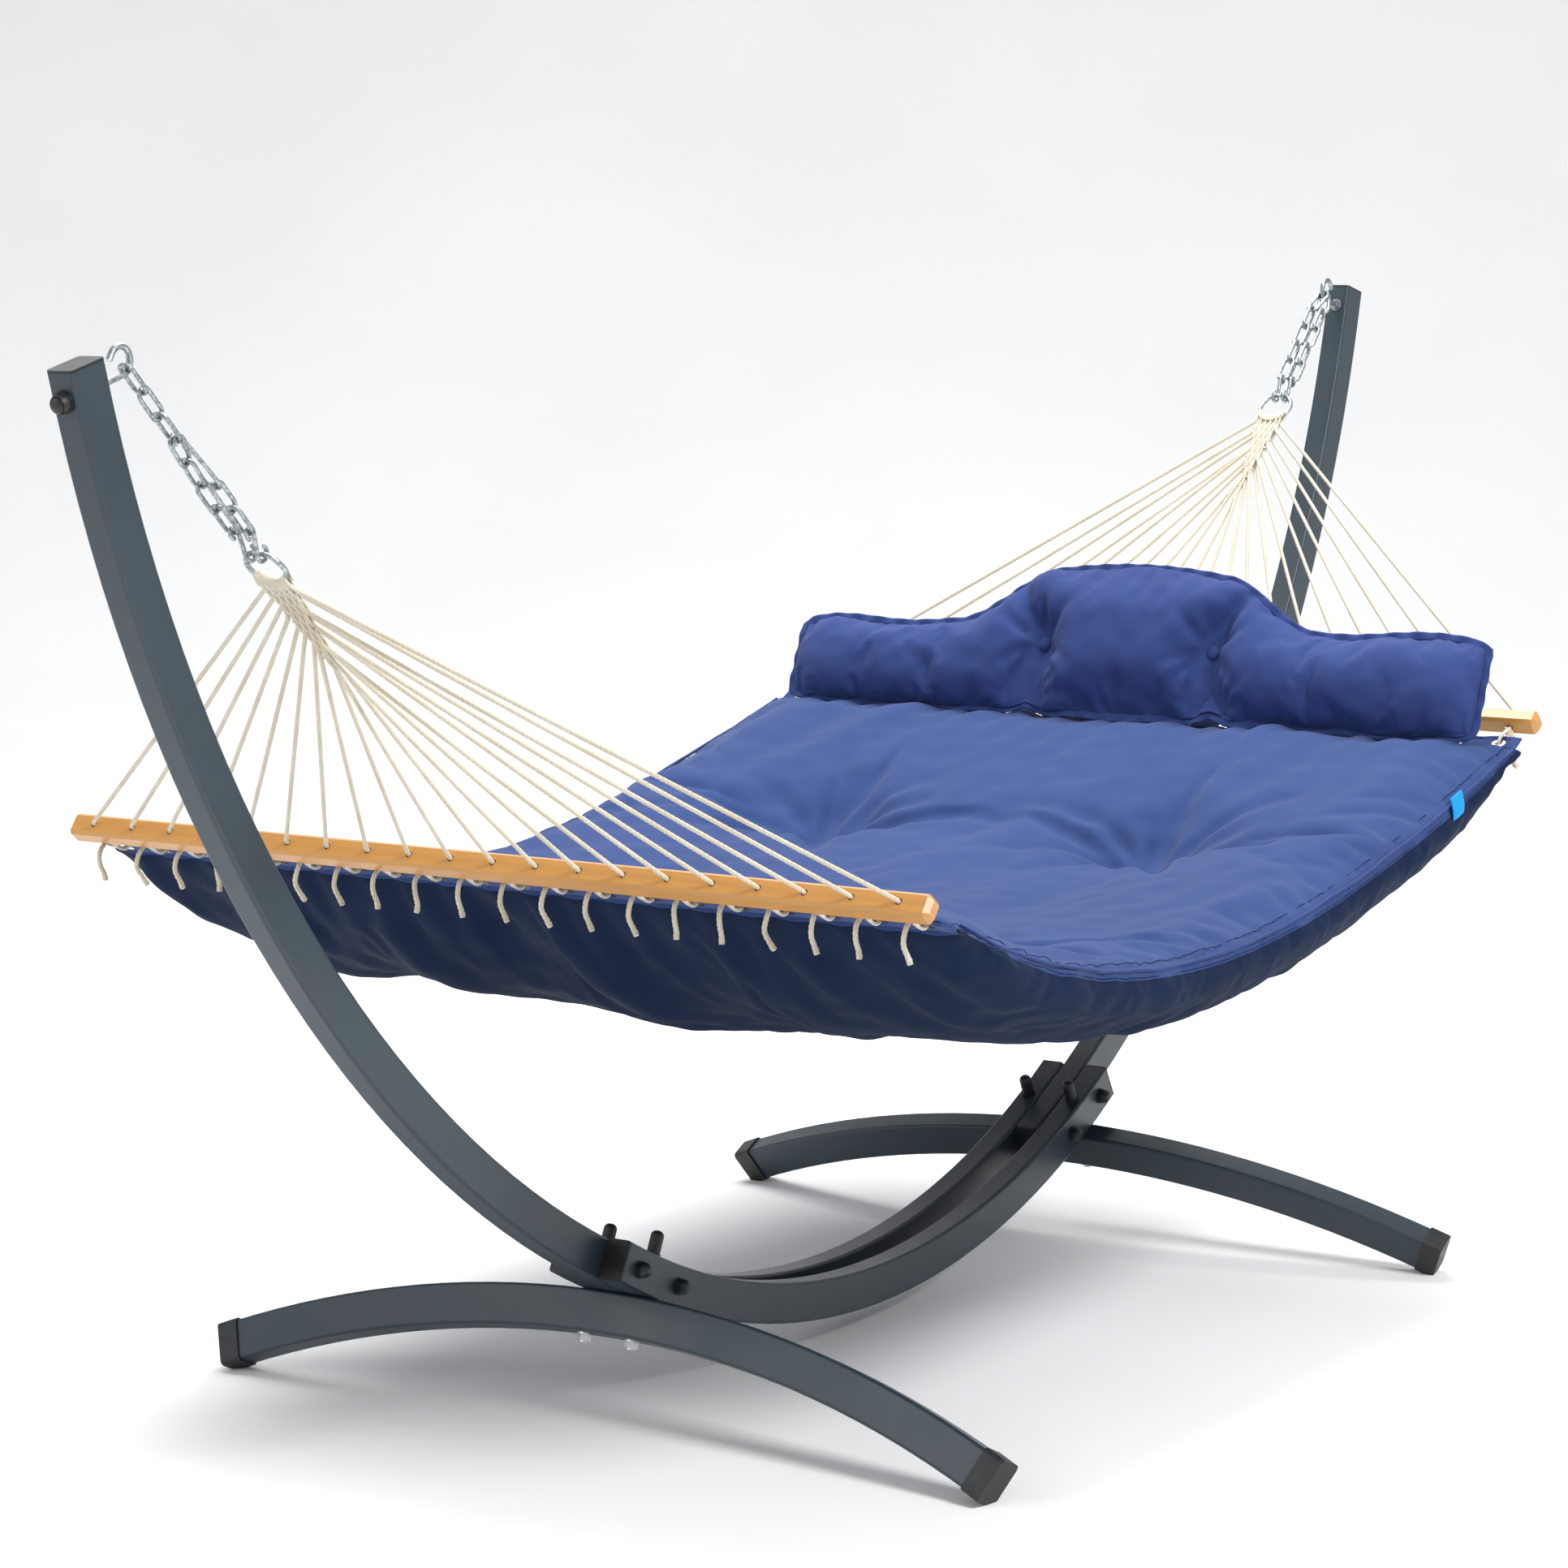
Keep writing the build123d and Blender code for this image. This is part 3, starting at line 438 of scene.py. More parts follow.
# ---- where the ropes run ---------------------------------------------------------------------
BAR_ROLL = math.radians(52)
HEM_SLOPE = math.radians(24)
BAR_DEPTH = 28 * MM
KNOT_DROP = 8 * MM
LOOP_LENGTH = 42 * MM
LOOP_HALF_WIDTH = 6.5 * MM
RING_RADIUS = 28 * MM


def pull(side):
    """From the ring down to the spreader bar."""
    return (middle(f"spreader_bar_{side}") - middle(f"ring_{side}")).normalized()


def sideways(side):
    """Square to the pull, upwards and inwards."""
    way = pull(side)
    return Vector((-SIDES[side] * abs(way.z), 0, abs(way.x)))


def hole_axis(side):
    return Vector((SIDES[side] * math.sin(BAR_ROLL), 0, math.cos(BAR_ROLL)))


def rope_across(number):
    return Vector((0, (number - (settings().rope_count - 1) / 2) * settings().rope_pitch, 0))


def knot_place(side, number):
    below = hole_axis(side) * (BAR_DEPTH / 2 + KNOT_DROP)
    return middle(f"spreader_bar_{side}") - below + rope_across(number)


def hem_ways(side):
    """Down along the hem from its bar, and the hem's upward normal."""
    sign = SIDES[side]
    return (Vector((-sign * math.cos(HEM_SLOPE), 0, -math.sin(HEM_SLOPE))),
            Vector((-sign * math.sin(HEM_SLOPE), 0, math.cos(HEM_SLOPE))))


def weave_rows():
    return settings().rope_count // 2


def column(number):
    """How far from the middle of the clew a rope lies in its weave."""
    return (number - (settings().rope_count - 1) / 2) * 2.4 * MM


def weave_point(side, across, down, lift):
    """A point in the woven clew: across it, down from the ring's lower wire, and out of its plane."""
    base = middle(f"ring_{side}") + pull(side) * (RING_RADIUS + down)
    return base + Vector((0, across, 0)) + sideways(side) * lift


def weave_route(side, number):
    """A rope's route round the ring and down through the weave to the row where it leaves."""
    layer = 1 if number % 2 else -1
    across = column(number)
    rank = min(number, settings().rope_count - 1 - number)
    rise = math.sqrt(RING_RADIUS ** 2 - across ** 2) - RING_RADIUS
    route = [weave_point(side, across, rise + 9 * MM, -layer * 6.0 * MM),
             weave_point(side, across, rise - 2 * MM, -layer * 6.6 * MM),
             weave_point(side, across, rise - 7.4 * MM, 0),
             weave_point(side, across, rise - 2 * MM, layer * 6.6 * MM)]
    row = settings().weave_row
    for step in range(rank + 1):
        over = 1 if (step + number // 2) % 2 else 0.25
        route.append(weave_point(side, across, 10 * MM + row * step, layer * over * 4.6 * MM))
    return route


def rope_route(side, number):
    """The whole run from the ring to the knot under the bar."""
    mouth = middle(f"spreader_bar_{side}") + hole_axis(side) * (BAR_DEPTH / 2 + 3 * MM) + rope_across(number)
    start = weave_route(side, number)
    leave = start[-1] + (mouth - start[-1]).normalized() * 9 * MM
    near = mouth + (start[-1] - mouth).normalized() * 10 * MM
    inside = mouth - hole_axis(side) * 10 * MM
    return start + [leave, near, mouth, inside, knot_place(side, number)]


def add_ropes(name, lots):
    """Several ropes as one piece."""
    vertices, faces = merged(lots)
    return add_piece(name, vertices, faces, ["spun_polyester_rope"], "hammock")


# ---- operators -------------------------------------------------------------------------------
class HAMMOCK_OT_stage(bpy.types.Operator):
    """Sets the camera, the floor and the studio light"""
    bl_idname = "hammock.stage"
    bl_label = "Camera, floor and light"

    def execute(self, context):
        scene = context.scene
        data = bpy.data.cameras.new("camera")
        data.lens = 99.1
        data.sensor_width = 36.0
        camera = bpy.data.objects.new("camera", data)
        scene.collection.objects.link(camera)
        right = Vector((0.54117, -0.84087, -0.00861))
        up = Vector((0.12096, 0.06771, 0.99035))
        back = right.cross(up)
        turn = Matrix((right, up, back)).transposed().to_4x4()
        camera.matrix_world = Matrix.Translation((-5.4286, -3.3797, 1.7151)) @ turn
        scene.camera = camera

        self.add_floor(scene)
        self.add_light(scene, "key_light", (-1.2, -5.2, 5.4), (0.1, 0.0, 0.5), 2.6, 400)
        self.add_light(scene, "fill_light", (-6.5, 3.0, 3.2), (0.0, 0.0, 0.6), 3.5, 100)
        self.add_light(scene, "top_light", (1.6, 1.2, 5.6), (0.1, 0.0, 0.4), 4.0, 420)
        world = bpy.data.worlds.new("studio")
        world.use_nodes = True
        world.node_tree.nodes["Background"].inputs["Color"].default_value = (0.97, 0.98, 1.0, 1)
        world.node_tree.nodes["Background"].inputs["Strength"].default_value = 0.6
        scene.world = world
        scene.view_settings.view_transform = "Standard"
        return {"FINISHED"}

    def add_floor(self, scene):
        """A pale floor that sweeps up behind the object."""
        profile = [(-9.0, 0.0), (6.0, 0.0)]
        turns = [step * math.pi / 24 for step in range(1, 13)]
        profile += [(6.0 + 4 * math.sin(turn), 4 - 4 * math.cos(turn)) for turn in turns]
        profile += [(10.0, 12.0)]
        along = Vector((0.84, 0.542, 0))
        across = Vector((-0.542, 0.84, 0))
        vertices, faces = [], []
        for far, high in profile:
            for side in (-14, 14):
                vertices.append(along * far + across * side + Vector((0, 0, high - 0.0005)))
        for at in range(len(profile) - 1):
            faces.append((2 * at, 2 * at + 1, 2 * at + 3, 2 * at + 2))
        mesh = bpy.data.meshes.new("floor")
        mesh.from_pydata(vertices, [], faces)
        floor = bpy.data.objects.new("floor", mesh)
        scene.collection.objects.link(floor)
        material, tree, shader = new_material("matte_studio_floor", Roughness=0.85)
        cloud = grain(tree, 900, 2)
        tree.links.new(shaded(tree, cloud.outputs[0], 0.2, 0.8, linear("#F4F4F4"), linear("#FAFAFA")),
                       shader.inputs["Base Color"])
        mesh.materials.append(material)
        mesh.polygons.foreach_set("use_smooth", [True] * len(mesh.polygons))

    def add_light(self, scene, name, place, target, size, power):
        data = bpy.data.lights.new(name, "AREA")
        data.shape = "DISK"
        data.size = size
        data.energy = power
        light = bpy.data.objects.new(name, data)
        light.location = place
        light.rotation_euler = (Vector(target) - Vector(place)).to_track_quat("-Z", "Y").to_euler()
        scene.collection.objects.link(light)


class HAMMOCK_OT_finishes(bpy.types.Operator):
    """Makes the materials and gives each carried-over part its own"""
    bl_idname = "hammock.finishes"
    bl_label = "Finishes"

    def execute(self, context):
        make_materials()
        slots = {entry["node"]: entry["material_slot"] for entry in frame["record"]["subparts"]}
        for name, part in frame["nodes"].items():
            material = bpy.data.materials[FINISHES[slots[name]]]
            if not part.material_slots:
                part.data.materials.append(material)
            for holder in part.material_slots:
                holder.material = material
        return {"FINISHED"}


class HAMMOCK_OT_tails(bpy.types.Operator):
    """Makes the free end of each rope, below its knot"""
    bl_idname = "hammock.tails"
    bl_label = "Rope tails"

    def execute(self, context):
        radius, length = settings().rope_radius, settings().tail_length
        for side, sign in SIDES.items():
            for number in range(settings().rope_count):
                top = knot_place(side, number) + Vector((0, 0, -4 * MM))
                bow = 15 + 8 * ripple((number, 1.3, sign), 1.7)
                curl = 14 * ripple((number, 7.7, sign), 1.9) - 5
                drops = (0, 0.10, 0.26, 0.50, 0.72, 0.86)
                out = (0, 0.75, 1.05, 0.95, 0.55, 0.65)
                aside = (0, 0.3, 0.1, -0.35, 0.2, 1.0)
                route = [top + Vector((sign * bow * far * MM, curl * wide * MM, -length * drop))
                         for drop, far, wide in zip(drops, out, aside)]
                points = spline_points(route)
                scale = ([0, 0.3, 0.82, 0.94, 1.0], [1.05, 1.15, 1.2, 1.4, 1.25])
                vertices, faces = rope_mesh(points, radius, settings().rope_lay, scale, number * 1.7)
                piece = add_piece(f"rope_tail_{side}_{number:02d}", vertices, faces, ["spun_polyester_rope"],
                                  "hammock")
                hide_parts(f"rope_tails_{side}")
        return {"FINISHED"}


class HAMMOCK_OT_ropes(bpy.types.Operator):
    """Makes the woven clews, the suspension ropes, their knots and the loops through the grommets"""
    bl_idname = "hammock.ropes"
    bl_label = "Ropes, clews and knots"

    def execute(self, context):
        for side in SIDES:
            self.make_ropes(side)
            self.make_weft(side)
            self.make_knots(side)
            self.make_loops(side)
        return {"FINISHED"}

    def make_ropes(self, side):
        radius, lay = settings().rope_radius, settings().rope_lay
        lots = []
        for number in range(settings().rope_count):
            route = rope_route(side, number)
            points = spline_points(route, 8)
            total = float(np.linalg.norm(np.diff(points, axis=0), axis=1).sum())
            rank = min(number, settings().rope_count - 1 - number)
            woven = (30 * MM + settings().weave_row * rank) / total
            scale = ([0, woven, woven + 0.02, 1], [0.82, 0.82, 1.0, 1.0])
            lots.append(rope_mesh(points, radius, lay, scale, number * 2.1))
        piece = add_ropes(f"twisted_ropes_{side}", lots)
        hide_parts(f"suspension_ropes_{side}")

    def make_weft(self, side):
        """The cords that cross the clew, over one rope and under the next."""
        lots = []
        for row in range(weave_rows() - 1):
            first = row + 1
            last = settings().rope_count - 1 - first
            down = 10 * MM + settings().weave_row * (row + 0.5)
            route = []
            for number in range(first, last + 1):
                lift = 3.4 * MM if (number // 2 + row) % 2 else -3.4 * MM
                route.append(weave_point(side, column(number), down, lift))
            route.insert(0, weave_point(side, column(first) - 3 * MM, down - 4 * MM, 0))
            route.append(weave_point(side, column(last) + 3 * MM, down + 4 * MM, 0))
            radius, lay = settings().rope_radius * 0.78, settings().rope_lay * 0.7
            lots.append(rope_mesh(spline_points(route, 6), radius, lay, None, row * 1.3, sides=9))
        piece = add_ropes(f"woven_clew_{side}", lots)
        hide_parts(f"clew_weave_{side}")

    def make_knots(self, side):
        """An overhand knot under each hole of the bar."""
        lots = []
        for number in range(settings().rope_count):
            turn = np.linspace(0, 2 * math.pi, 40)[:-1]
            wide = 2 + np.cos(3 * turn)
            knot = np.stack([wide * np.cos(2 * turn), wide * np.sin(2 * turn), np.sin(3 * turn) * 1.5],
                            axis=1)
            knot = np.concatenate([knot, knot[:1]]) * 2.1 * MM
            tilt = Matrix.Rotation(0.9 + 0.3 * math.sin(number * 2.3), 3, "X")
            spin = Matrix.Rotation(number * 1.1, 3, "Y") @ tilt
            points = knot @ np.array(spin).T + np.array(knot_place(side, number))
            radius, lay = settings().rope_radius * 0.86, settings().rope_lay * 0.8
            lots.append(rope_mesh(points, radius, lay, None, number, 8))
        piece = add_ropes(f"overhand_knots_{side}", lots)
        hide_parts(f"rope_knots_{side}")

    def make_loops(self, side):
        """The bight from each knot through its grommet."""
        way, normal = hem_ways(side)
        lots = []
        for number in range(settings().rope_count):
            knot = knot_place(side, number)
            far = knot + way * (LOOP_LENGTH + 1.5 * MM)
            slant = Vector((0, 1.6 * MM * math.sin(number * 1.9), 0))
            lift = normal * LOOP_HALF_WIDTH
            route = [knot + normal * 2 * MM, knot + way * 9 * MM + lift * 0.9 + slant,
                     knot + way * 24 * MM + lift * 1.1, far - way * 7 * MM + lift * 1.05, far + lift * 0.4,
                     far - lift * 0.4, far - way * 7 * MM - lift * 1.05, knot + way * 24 * MM - lift * 1.1,
                     knot + way * 9 * MM - lift * 0.9 - slant, knot - normal * 2 * MM]
            lots.append(rope_mesh(spline_points(route, 8), settings().rope_radius * 0.92, settings().rope_lay,
                                  None, number * 0.9, 9))
        piece = add_ropes(f"grommet_loops_{side}", lots)
        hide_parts(f"rope_loops_{side}")


# ---- the bed ---------------------------------------------------------------------------------
PAD_HALF_LENGTH = 862 * MM
PAD_HALF_WIDTH = 690 * MM
PAD_LOW = 655 * MM
PAD_RISE = 152.5 * MM
PAD_SKEW = 61 * MM
PAD_SKEW_BACK = 48.5 * MM
PAD_HOLLOW = 45 * MM
PAD_THICKNESS = 70 * MM
PAD_SIDE_THICKNESS = 60 * MM
PAD_END_THICKNESS = 14 * MM
PAD_CELL = 13 * MM
GUSSET_ROWS = 4
TUFTS = [(x, y) for x in (-0.38, 0.38) for y in (-0.30, 0.30)]
HEM_WIDTH = 50 * MM
HEM_HALF_LENGTH = 688 * MM
HEM_START = 19 * MM


PIPING_RADIUS = 2.9 * MM
PIPING_TWIST = 400 * MM
STITCH_LENGTH = 4.2 * MM
STITCH_GAP = 1.8 * MM
THREAD_RADIUS = 0.7 * MM
STITCH_LIFT = 0.6 * MM


def side_height(x):
    part = x / PAD_HALF_LENGTH
    return PAD_LOW + PAD_RISE * part ** 2 + PAD_SKEW * part - PAD_SKEW_BACK * part ** 3


def crease_lines(seed, count, reach):
    """Directions, lengths and depths of the creases that run out from a tuft."""
    lines = []
    for index in range(count):
        wander = ripple((index * 1.7, seed, 0.4), 1.0)
        angle = 2 * math.pi * (index + 0.8 * wander) / count
        lines.append((angle, reach * (0.7 + 0.9 * abs(ripple((seed, index, 2.2), 1.3))), 0.6 + abs(wander)))
    return lines


def draw_creases(x, y, centre, lines, width, depth):
    """How far creases running out from a point press the surface in."""
    dx, dy = x - centre[0], y - centre[1]
    pressed = np.zeros_like(x)
    for angle, reach, weight in lines:
        along = dx * math.cos(angle) + dy * math.sin(angle)
        aside = -dx * math.sin(angle) + dy * math.cos(angle) + 0.12 * along * np.sin(along * 9 + angle)
        run = np.clip(along / reach, 0, 1)
        fade = np.where(along > 0, np.sin(np.clip(run, 0, 1) ** 0.5 * math.pi) * (1 - run), 0)
        pressed += weight * fade * np.exp(-(aside / (width * (0.8 + 1.2 * run))) ** 2)
    return depth * pressed


def inflate(piece, pressure, growth, cap, pinned):
    """Blows a cover up like its filling does, by cloth simulation, then keeps the shape."""
    rest = coordinates(piece.data)
    group = piece.vertex_groups.new(name="pinned")
    for index, weight in pinned:
        group.add([index], weight, "REPLACE")
    modifier = piece.modifiers.new("cloth", "CLOTH")
    cloth = modifier.settings
    cloth.quality = 5
    cloth.mass = 0.3
    cloth.tension_stiffness = 14
    cloth.compression_stiffness = 8
    cloth.shear_stiffness = 4
    cloth.bending_stiffness = 0.15
    cloth.use_pressure = True
    cloth.uniform_pressure_force = pressure
    cloth.shrink_min = -growth
    cloth.shrink_max = -growth
    cloth.effector_weights.gravity = 0
    cloth.vertex_group_mass = "pinned"
    modifier.point_cache.frame_start = 1
    modifier.point_cache.frame_end = 20
    scene = bpy.context.scene
    for number in range(1, 21):
        scene.frame_set(number)
    shaped = piece.evaluated_get(bpy.context.evaluated_depsgraph_get())
    moved = coordinates(shaped.data) - rest
    piece.modifiers.remove(modifier)
    scene.frame_set(1)
    far = np.linalg.norm(moved, axis=1)
    limited = np.minimum(1.0, cap / np.maximum(far, 1e-9))
    set_coordinates(piece.data, rest + moved * limited[:, None])


def smooth_once(piece):
    """One level of subdivision, applied."""
    modifier = piece.modifiers.new("subdivision", "SUBSURF")
    modifier.levels = 1
    modifier.render_levels = 1
    shaped = piece.evaluated_get(bpy.context.evaluated_depsgraph_get())
    mesh = bpy.data.meshes.new_from_object(shaped)
    piece.modifiers.remove(modifier)
    old = piece.data
    piece.data = mesh
    bpy.data.meshes.remove(old)
    mesh.polygons.foreach_set("use_smooth", [True] * len(mesh.polygons))


def set_creases(mesh, edges, value):
    """Keeps seam edges tight under subdivision."""
    wanted = {tuple(sorted(edge)) for edge in edges}
    attribute = mesh.attributes.get("crease_edge") or mesh.attributes.new("crease_edge", "FLOAT", "EDGE")
    for edge in mesh.edges:
        if tuple(sorted(edge.vertices)) in wanted:
            attribute.data[edge.index].value = value


def stitch_lots(points, outward):
    """Small thread bars in a row along a line, standing a little out of it."""
    length, gap, radius = STITCH_LENGTH, STITCH_GAP, THREAD_RADIUS
    run, _ = even_points(np.asarray(points), length + gap)
    lots = []
    for here, there, lift in zip(run[:-1], run[1:], np.resize(np.asarray(outward), (len(run), 3))):
        ahead = (there - here) / np.linalg.norm(there - here)
        finish = here + ahead * length
        across = np.cross(ahead, lift)
        across /= np.linalg.norm(across)
        corners = []
        dip = ahead * length * 0.25
        for end, rise in ((here, 0.2), (here + dip, 1.0), (finish - dip, 1.0), (finish, 0.2)):
            for sign, high in ((-1, 0), (0, 1), (1, 0), (0, -1)):
                corners.append(end + across * sign * radius + lift * radius * (high + rise))
        faces = [(a + n, a + (n + 1) % 4, a + 4 + (n + 1) % 4, a + 4 + n)
                 for a in (0, 4, 8) for n in range(4)]
        lots.append((np.array(corners), faces + [(3, 2, 1, 0), (12, 13, 14, 15)]))
    return lots


class HAMMOCK_OT_bed(bpy.types.Operator):
    """Makes the quilted bed with its tufts, side panels, piping and stitches"""
    bl_idname = "hammock.bed"
    bl_label = "Quilted bed"

    def execute(self, context):
        stations = int(2 * PAD_HALF_LENGTH / PAD_CELL)
        lanes = int(2 * PAD_HALF_WIDTH / PAD_CELL)
        self.xs = np.linspace(-PAD_HALF_LENGTH, PAD_HALF_LENGTH, stations + 1)
        self.ys = np.linspace(-PAD_HALF_WIDTH, PAD_HALF_WIDTH, lanes + 1)
        self.ring = 2 * (lanes + 1) + 2 * GUSSET_ROWS
        piece = self.make_shell(stations, lanes)
        rest = coordinates(piece.data)
        inflate(piece, 3.0, 0.03, settings().puff, self.pins(rest, lanes))
        self.make_piping(coordinates(piece.data), lanes)
        smooth_once(piece)
        self.add_wrinkles(piece)
        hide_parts("bed_pad")
        return {"FINISHED"}

    def heights(self, x, y, upper):
        """The height of the upper or lower cover before it is blown up."""
        u, v = x / PAD_HALF_LENGTH, y / PAD_HALF_WIDTH
        inner = (1 - u ** 2) * (1 - v ** 2)
        thick = PAD_SIDE_THICKNESS + (PAD_THICKNESS - PAD_SIDE_THICKNESS) * np.minimum(1, 3 * (1 - v ** 2))
        thick = PAD_END_THICKNESS + (thick - PAD_END_THICKNESS) * np.minimum(1, (1 - u ** 2) * 2.6)
        top = side_height(x) - PAD_HOLLOW * inner
        edge = (1 - np.exp((np.abs(u) - 1) / 0.05)) * (1 - np.exp((np.abs(v) - 1) / 0.035))
        swell, drawn = np.ones_like(x), np.zeros_like(x)
        for place in TUFTS:
            near = np.hypot(x - place[0], y - place[1])
            swell *= 1 - 0.95 * np.exp(-(near / 0.17) ** 2)
            drawn += np.exp(-(near / 0.055) ** 2)
        for place in (-0.38, 0.38):
            swell *= 1 - 0.45 * np.exp(-((x - place) / 0.07) ** 2) * np.exp(-(y / 0.3) ** 4)
        for place in (-0.30, 0.30):
            swell *= 1 - 0.40 * np.exp(-((y - place) / 0.07) ** 2) * np.exp(-(x / 0.4) ** 4)
        puff = settings().puff * 0.9 * edge * swell
        if upper:
            return top + puff * 0.9 - settings().tuft_depth * drawn * edge - 6 * MM * edge
        return top - thick - puff * 0.35 + settings().tuft_depth * 0.3 * drawn * edge + 6 * MM * edge

    def make_shell(self, stations, lanes):
        x, y = np.meshgrid(self.xs, self.ys, indexing="ij")
        top = self.heights(x, y, True)
        low = self.heights(x, y, False)
        rings = []
        for at in range(stations + 1):
            upper = np.stack([x[at], y[at], top[at]], axis=1)
            lower = np.stack([x[at], y[at], low[at]], axis=1)[::-1]
            part = (np.arange(GUSSET_ROWS) + 1) / (GUSSET_ROWS + 1)
            bulge = np.sin(part * math.pi) * 12 * MM
            back = upper[-1] + (lower[0] - upper[-1]) * part[:, None] + np.outer(bulge, (0, 1, 0))
            front = lower[-1] + (upper[0] - lower[-1]) * part[:, None] - np.outer(bulge, (0, 1, 0))
            rings.append(np.concatenate([upper, back, lower, front]))
        vertices = np.concatenate(rings)
        faces, painted_shade_slots = [], []
        for at in range(stations):
            for index in range(self.ring):
                nxt = (index + 1) % self.ring
                base = at * self.ring
                faces.append((base + index, base + self.ring + index, base + self.ring + nxt, base + nxt))
                # Slot 1 is the painted-shade copy of the blue cover, on the gussets and the underside; slot 0
                # is the cover itself.
                painted_shade_slots.append(1 if lanes + 1 <= index < self.ring - 1 else 0)
        for base, flip in ((0, 1), (stations * self.ring, -1)):
            lower = base + 2 * lanes + 1 + GUSSET_ROWS
            for index in range(lanes):
                face = (base + index, base + index + 1, lower - index - 1, lower - index)
                faces.append(face[::flip])
                painted_shade_slots.append(0)
            front = [base] + [base + self.ring - 1 - n for n in range(GUSSET_ROWS)] + [lower]
            back = [base + lanes + n for n in range(GUSSET_ROWS + 2)]
            faces += [tuple(front[::flip]), tuple(back[::flip])]
            painted_shade_slots += [0, 0]
        piece = add_piece("quilted_bed", vertices, faces, ["woven_polyester_blue", "woven_polyester_blue_painted_shade"],
                          "hammock")
        piece.data.polygons.foreach_set("material_index", painted_shade_slots)
        seams = []
        for row in self.seam_rows(lanes):
            seams += [(at * self.ring + row, (at + 1) * self.ring + row) for at in range(stations)]
        set_creases(piece.data, seams, 0.8)
        return piece

    def seam_rows(self, lanes):
        """Where the long seams lie in each ring: front and back of the top, then of the underside."""
        return 0, lanes, lanes + GUSSET_ROWS + 1, 2 * lanes + 1 + GUSSET_ROWS

    def pins(self, rest, lanes):
        """Holds the tufts, and both ends; the seams give a little."""
        found = []
        seams = set(self.seam_rows(lanes))
        for index, (x, y, _) in enumerate(rest):
            held = abs(x) > PAD_HALF_LENGTH - 0.5 * PAD_CELL
            tuft = min(math.hypot(x - place[0], y - place[1]) for place in TUFTS) < 14 * MM
            if held or tuft:
                found.append((index, 1.0))
            elif index % self.ring in seams:
                found.append((index, 0.9))
        return found

    def add_wrinkles(self, piece):
        """Creases round the tufts, gathers at the grommets and seams, and slack folds on the underside."""
        points = coordinates(piece.data)
        normals = normals_of(piece.data)
        x, y, _ = points.T
        tufts = np.min([np.hypot(x - place[0], y - place[1]) for place in TUFTS], axis=0)
        upper = np.clip(normals[:, 2] * 2.5, 0, 1)
        lower = np.clip(-normals[:, 2] * 2.5, 0, 1)
        flank = 1 - np.minimum(1, upper + lower)
        pressed = np.zeros(len(points))
        for number, place in enumerate(TUFTS):
            lines = crease_lines(number * 3.1 + 0.7, 10, 0.34)
            pressed += draw_creases(x, y, place, lines, 15 * MM, 22 * MM) * upper
            pressed += draw_creases(x, y, place, crease_lines(number + 9.4, 7, 0.26), 14 * MM, 9 * MM) * lower
        inward = PAD_HALF_LENGTH - np.abs(x)
        pitch = settings().rope_pitch
        gather = np.cos(2 * math.pi * (y / pitch - 0.5)) * np.exp(-inward / 0.10)
        seam = PAD_HALF_WIDTH - np.abs(y)
        folds = np.array([ripple((px * 0.12, py + 0.35 * px, 0.3), 0.075) for px, py in zip(x, y)])
        long_folds = np.array([ripple((px * 0.22, py - 0.2 * px, 4.3), 0.16) for px, py in zip(x, y)])
        small = ripples(points, 0.045, 2.0)
        slack = np.exp(-np.maximum(0, x + PAD_HALF_LENGTH - 0.1) / 0.5)
        away = np.minimum(1, inward / 0.06) * np.minimum(1, seam / 0.05 + flank)
        lift = -pressed * np.clip(tufts / 0.07, 0, 1) + 3.5 * MM * gather * (upper + lower)
        lift += folds * (7 * MM * upper + (6 + 12 * slack) * MM * lower) * away
        lift += long_folds * (11 * MM * upper + (8 + 12 * slack) * MM * lower) * away
        lift += small * 3.0 * MM * away
        pleats = np.array([ripple((px, py * 0.2, pz * 0.5), 0.052, 6.0) for px, py, pz in points])
        lift += pleats * (3.5 * MM * np.exp(-seam / 0.05) + 2.0 * MM * flank)
        set_coordinates(piece.data, points + normals * lift[:, None])

    def make_piping(self, points, lanes):
        """Gathered piping along the long seams, with a row of stitches on each side of it."""
        rows = points.reshape(-1, self.ring, 3)
        lots, threads = [], []
        for order, row in enumerate(self.seam_rows(lanes)):
            line = rows[:, row].copy()
            sign = -1 if row in (0, 2 * lanes + 1 + GUSSET_ROWS) else 1
            run, at = even_points(line, 5 * MM)
            wave = np.sin(at * 2 * math.pi / 0.047 + 3 * np.sin(at * 11 + order))
            run[:, 1] += sign * (2.0 * MM + 1.1 * MM * wave)
            run[:, 2] += 1.3 * MM * np.cos(at * 2 * math.pi / 0.061 + 2 * np.sin(at * 7 + order))
            if order in (0, 1):
                ends = ([0, 0.02, 0.98, 1], [0.7, 1, 1, 0.7])
                lots.append(rope_mesh(run, PIPING_RADIUS, PIPING_TWIST, ends, order, 10, 2))
                inner = 1 if row == 0 else lanes - 1
                outer = self.ring - 1 if row == 0 else lanes + 1
                top = line + (rows[:, inner] - line) * 0.85
                flank = line + (rows[:, outer] - line) * 0.75
                threads += stitch_lots(top + np.array((0, 0, STITCH_LIFT)), (0, 0, 1))
                threads += stitch_lots(flank + np.array((0, sign * STITCH_LIFT, 0)), (0, sign, 0))
        vertices, faces = merged(lots)
        add_piece("bed_piping", vertices, faces, ["woven_polyester_pillow"], "hammock")
        vertices, faces = merged(threads)
        add_piece("bed_stitches", vertices, faces, ["bonded_nylon_thread"], "hammock")


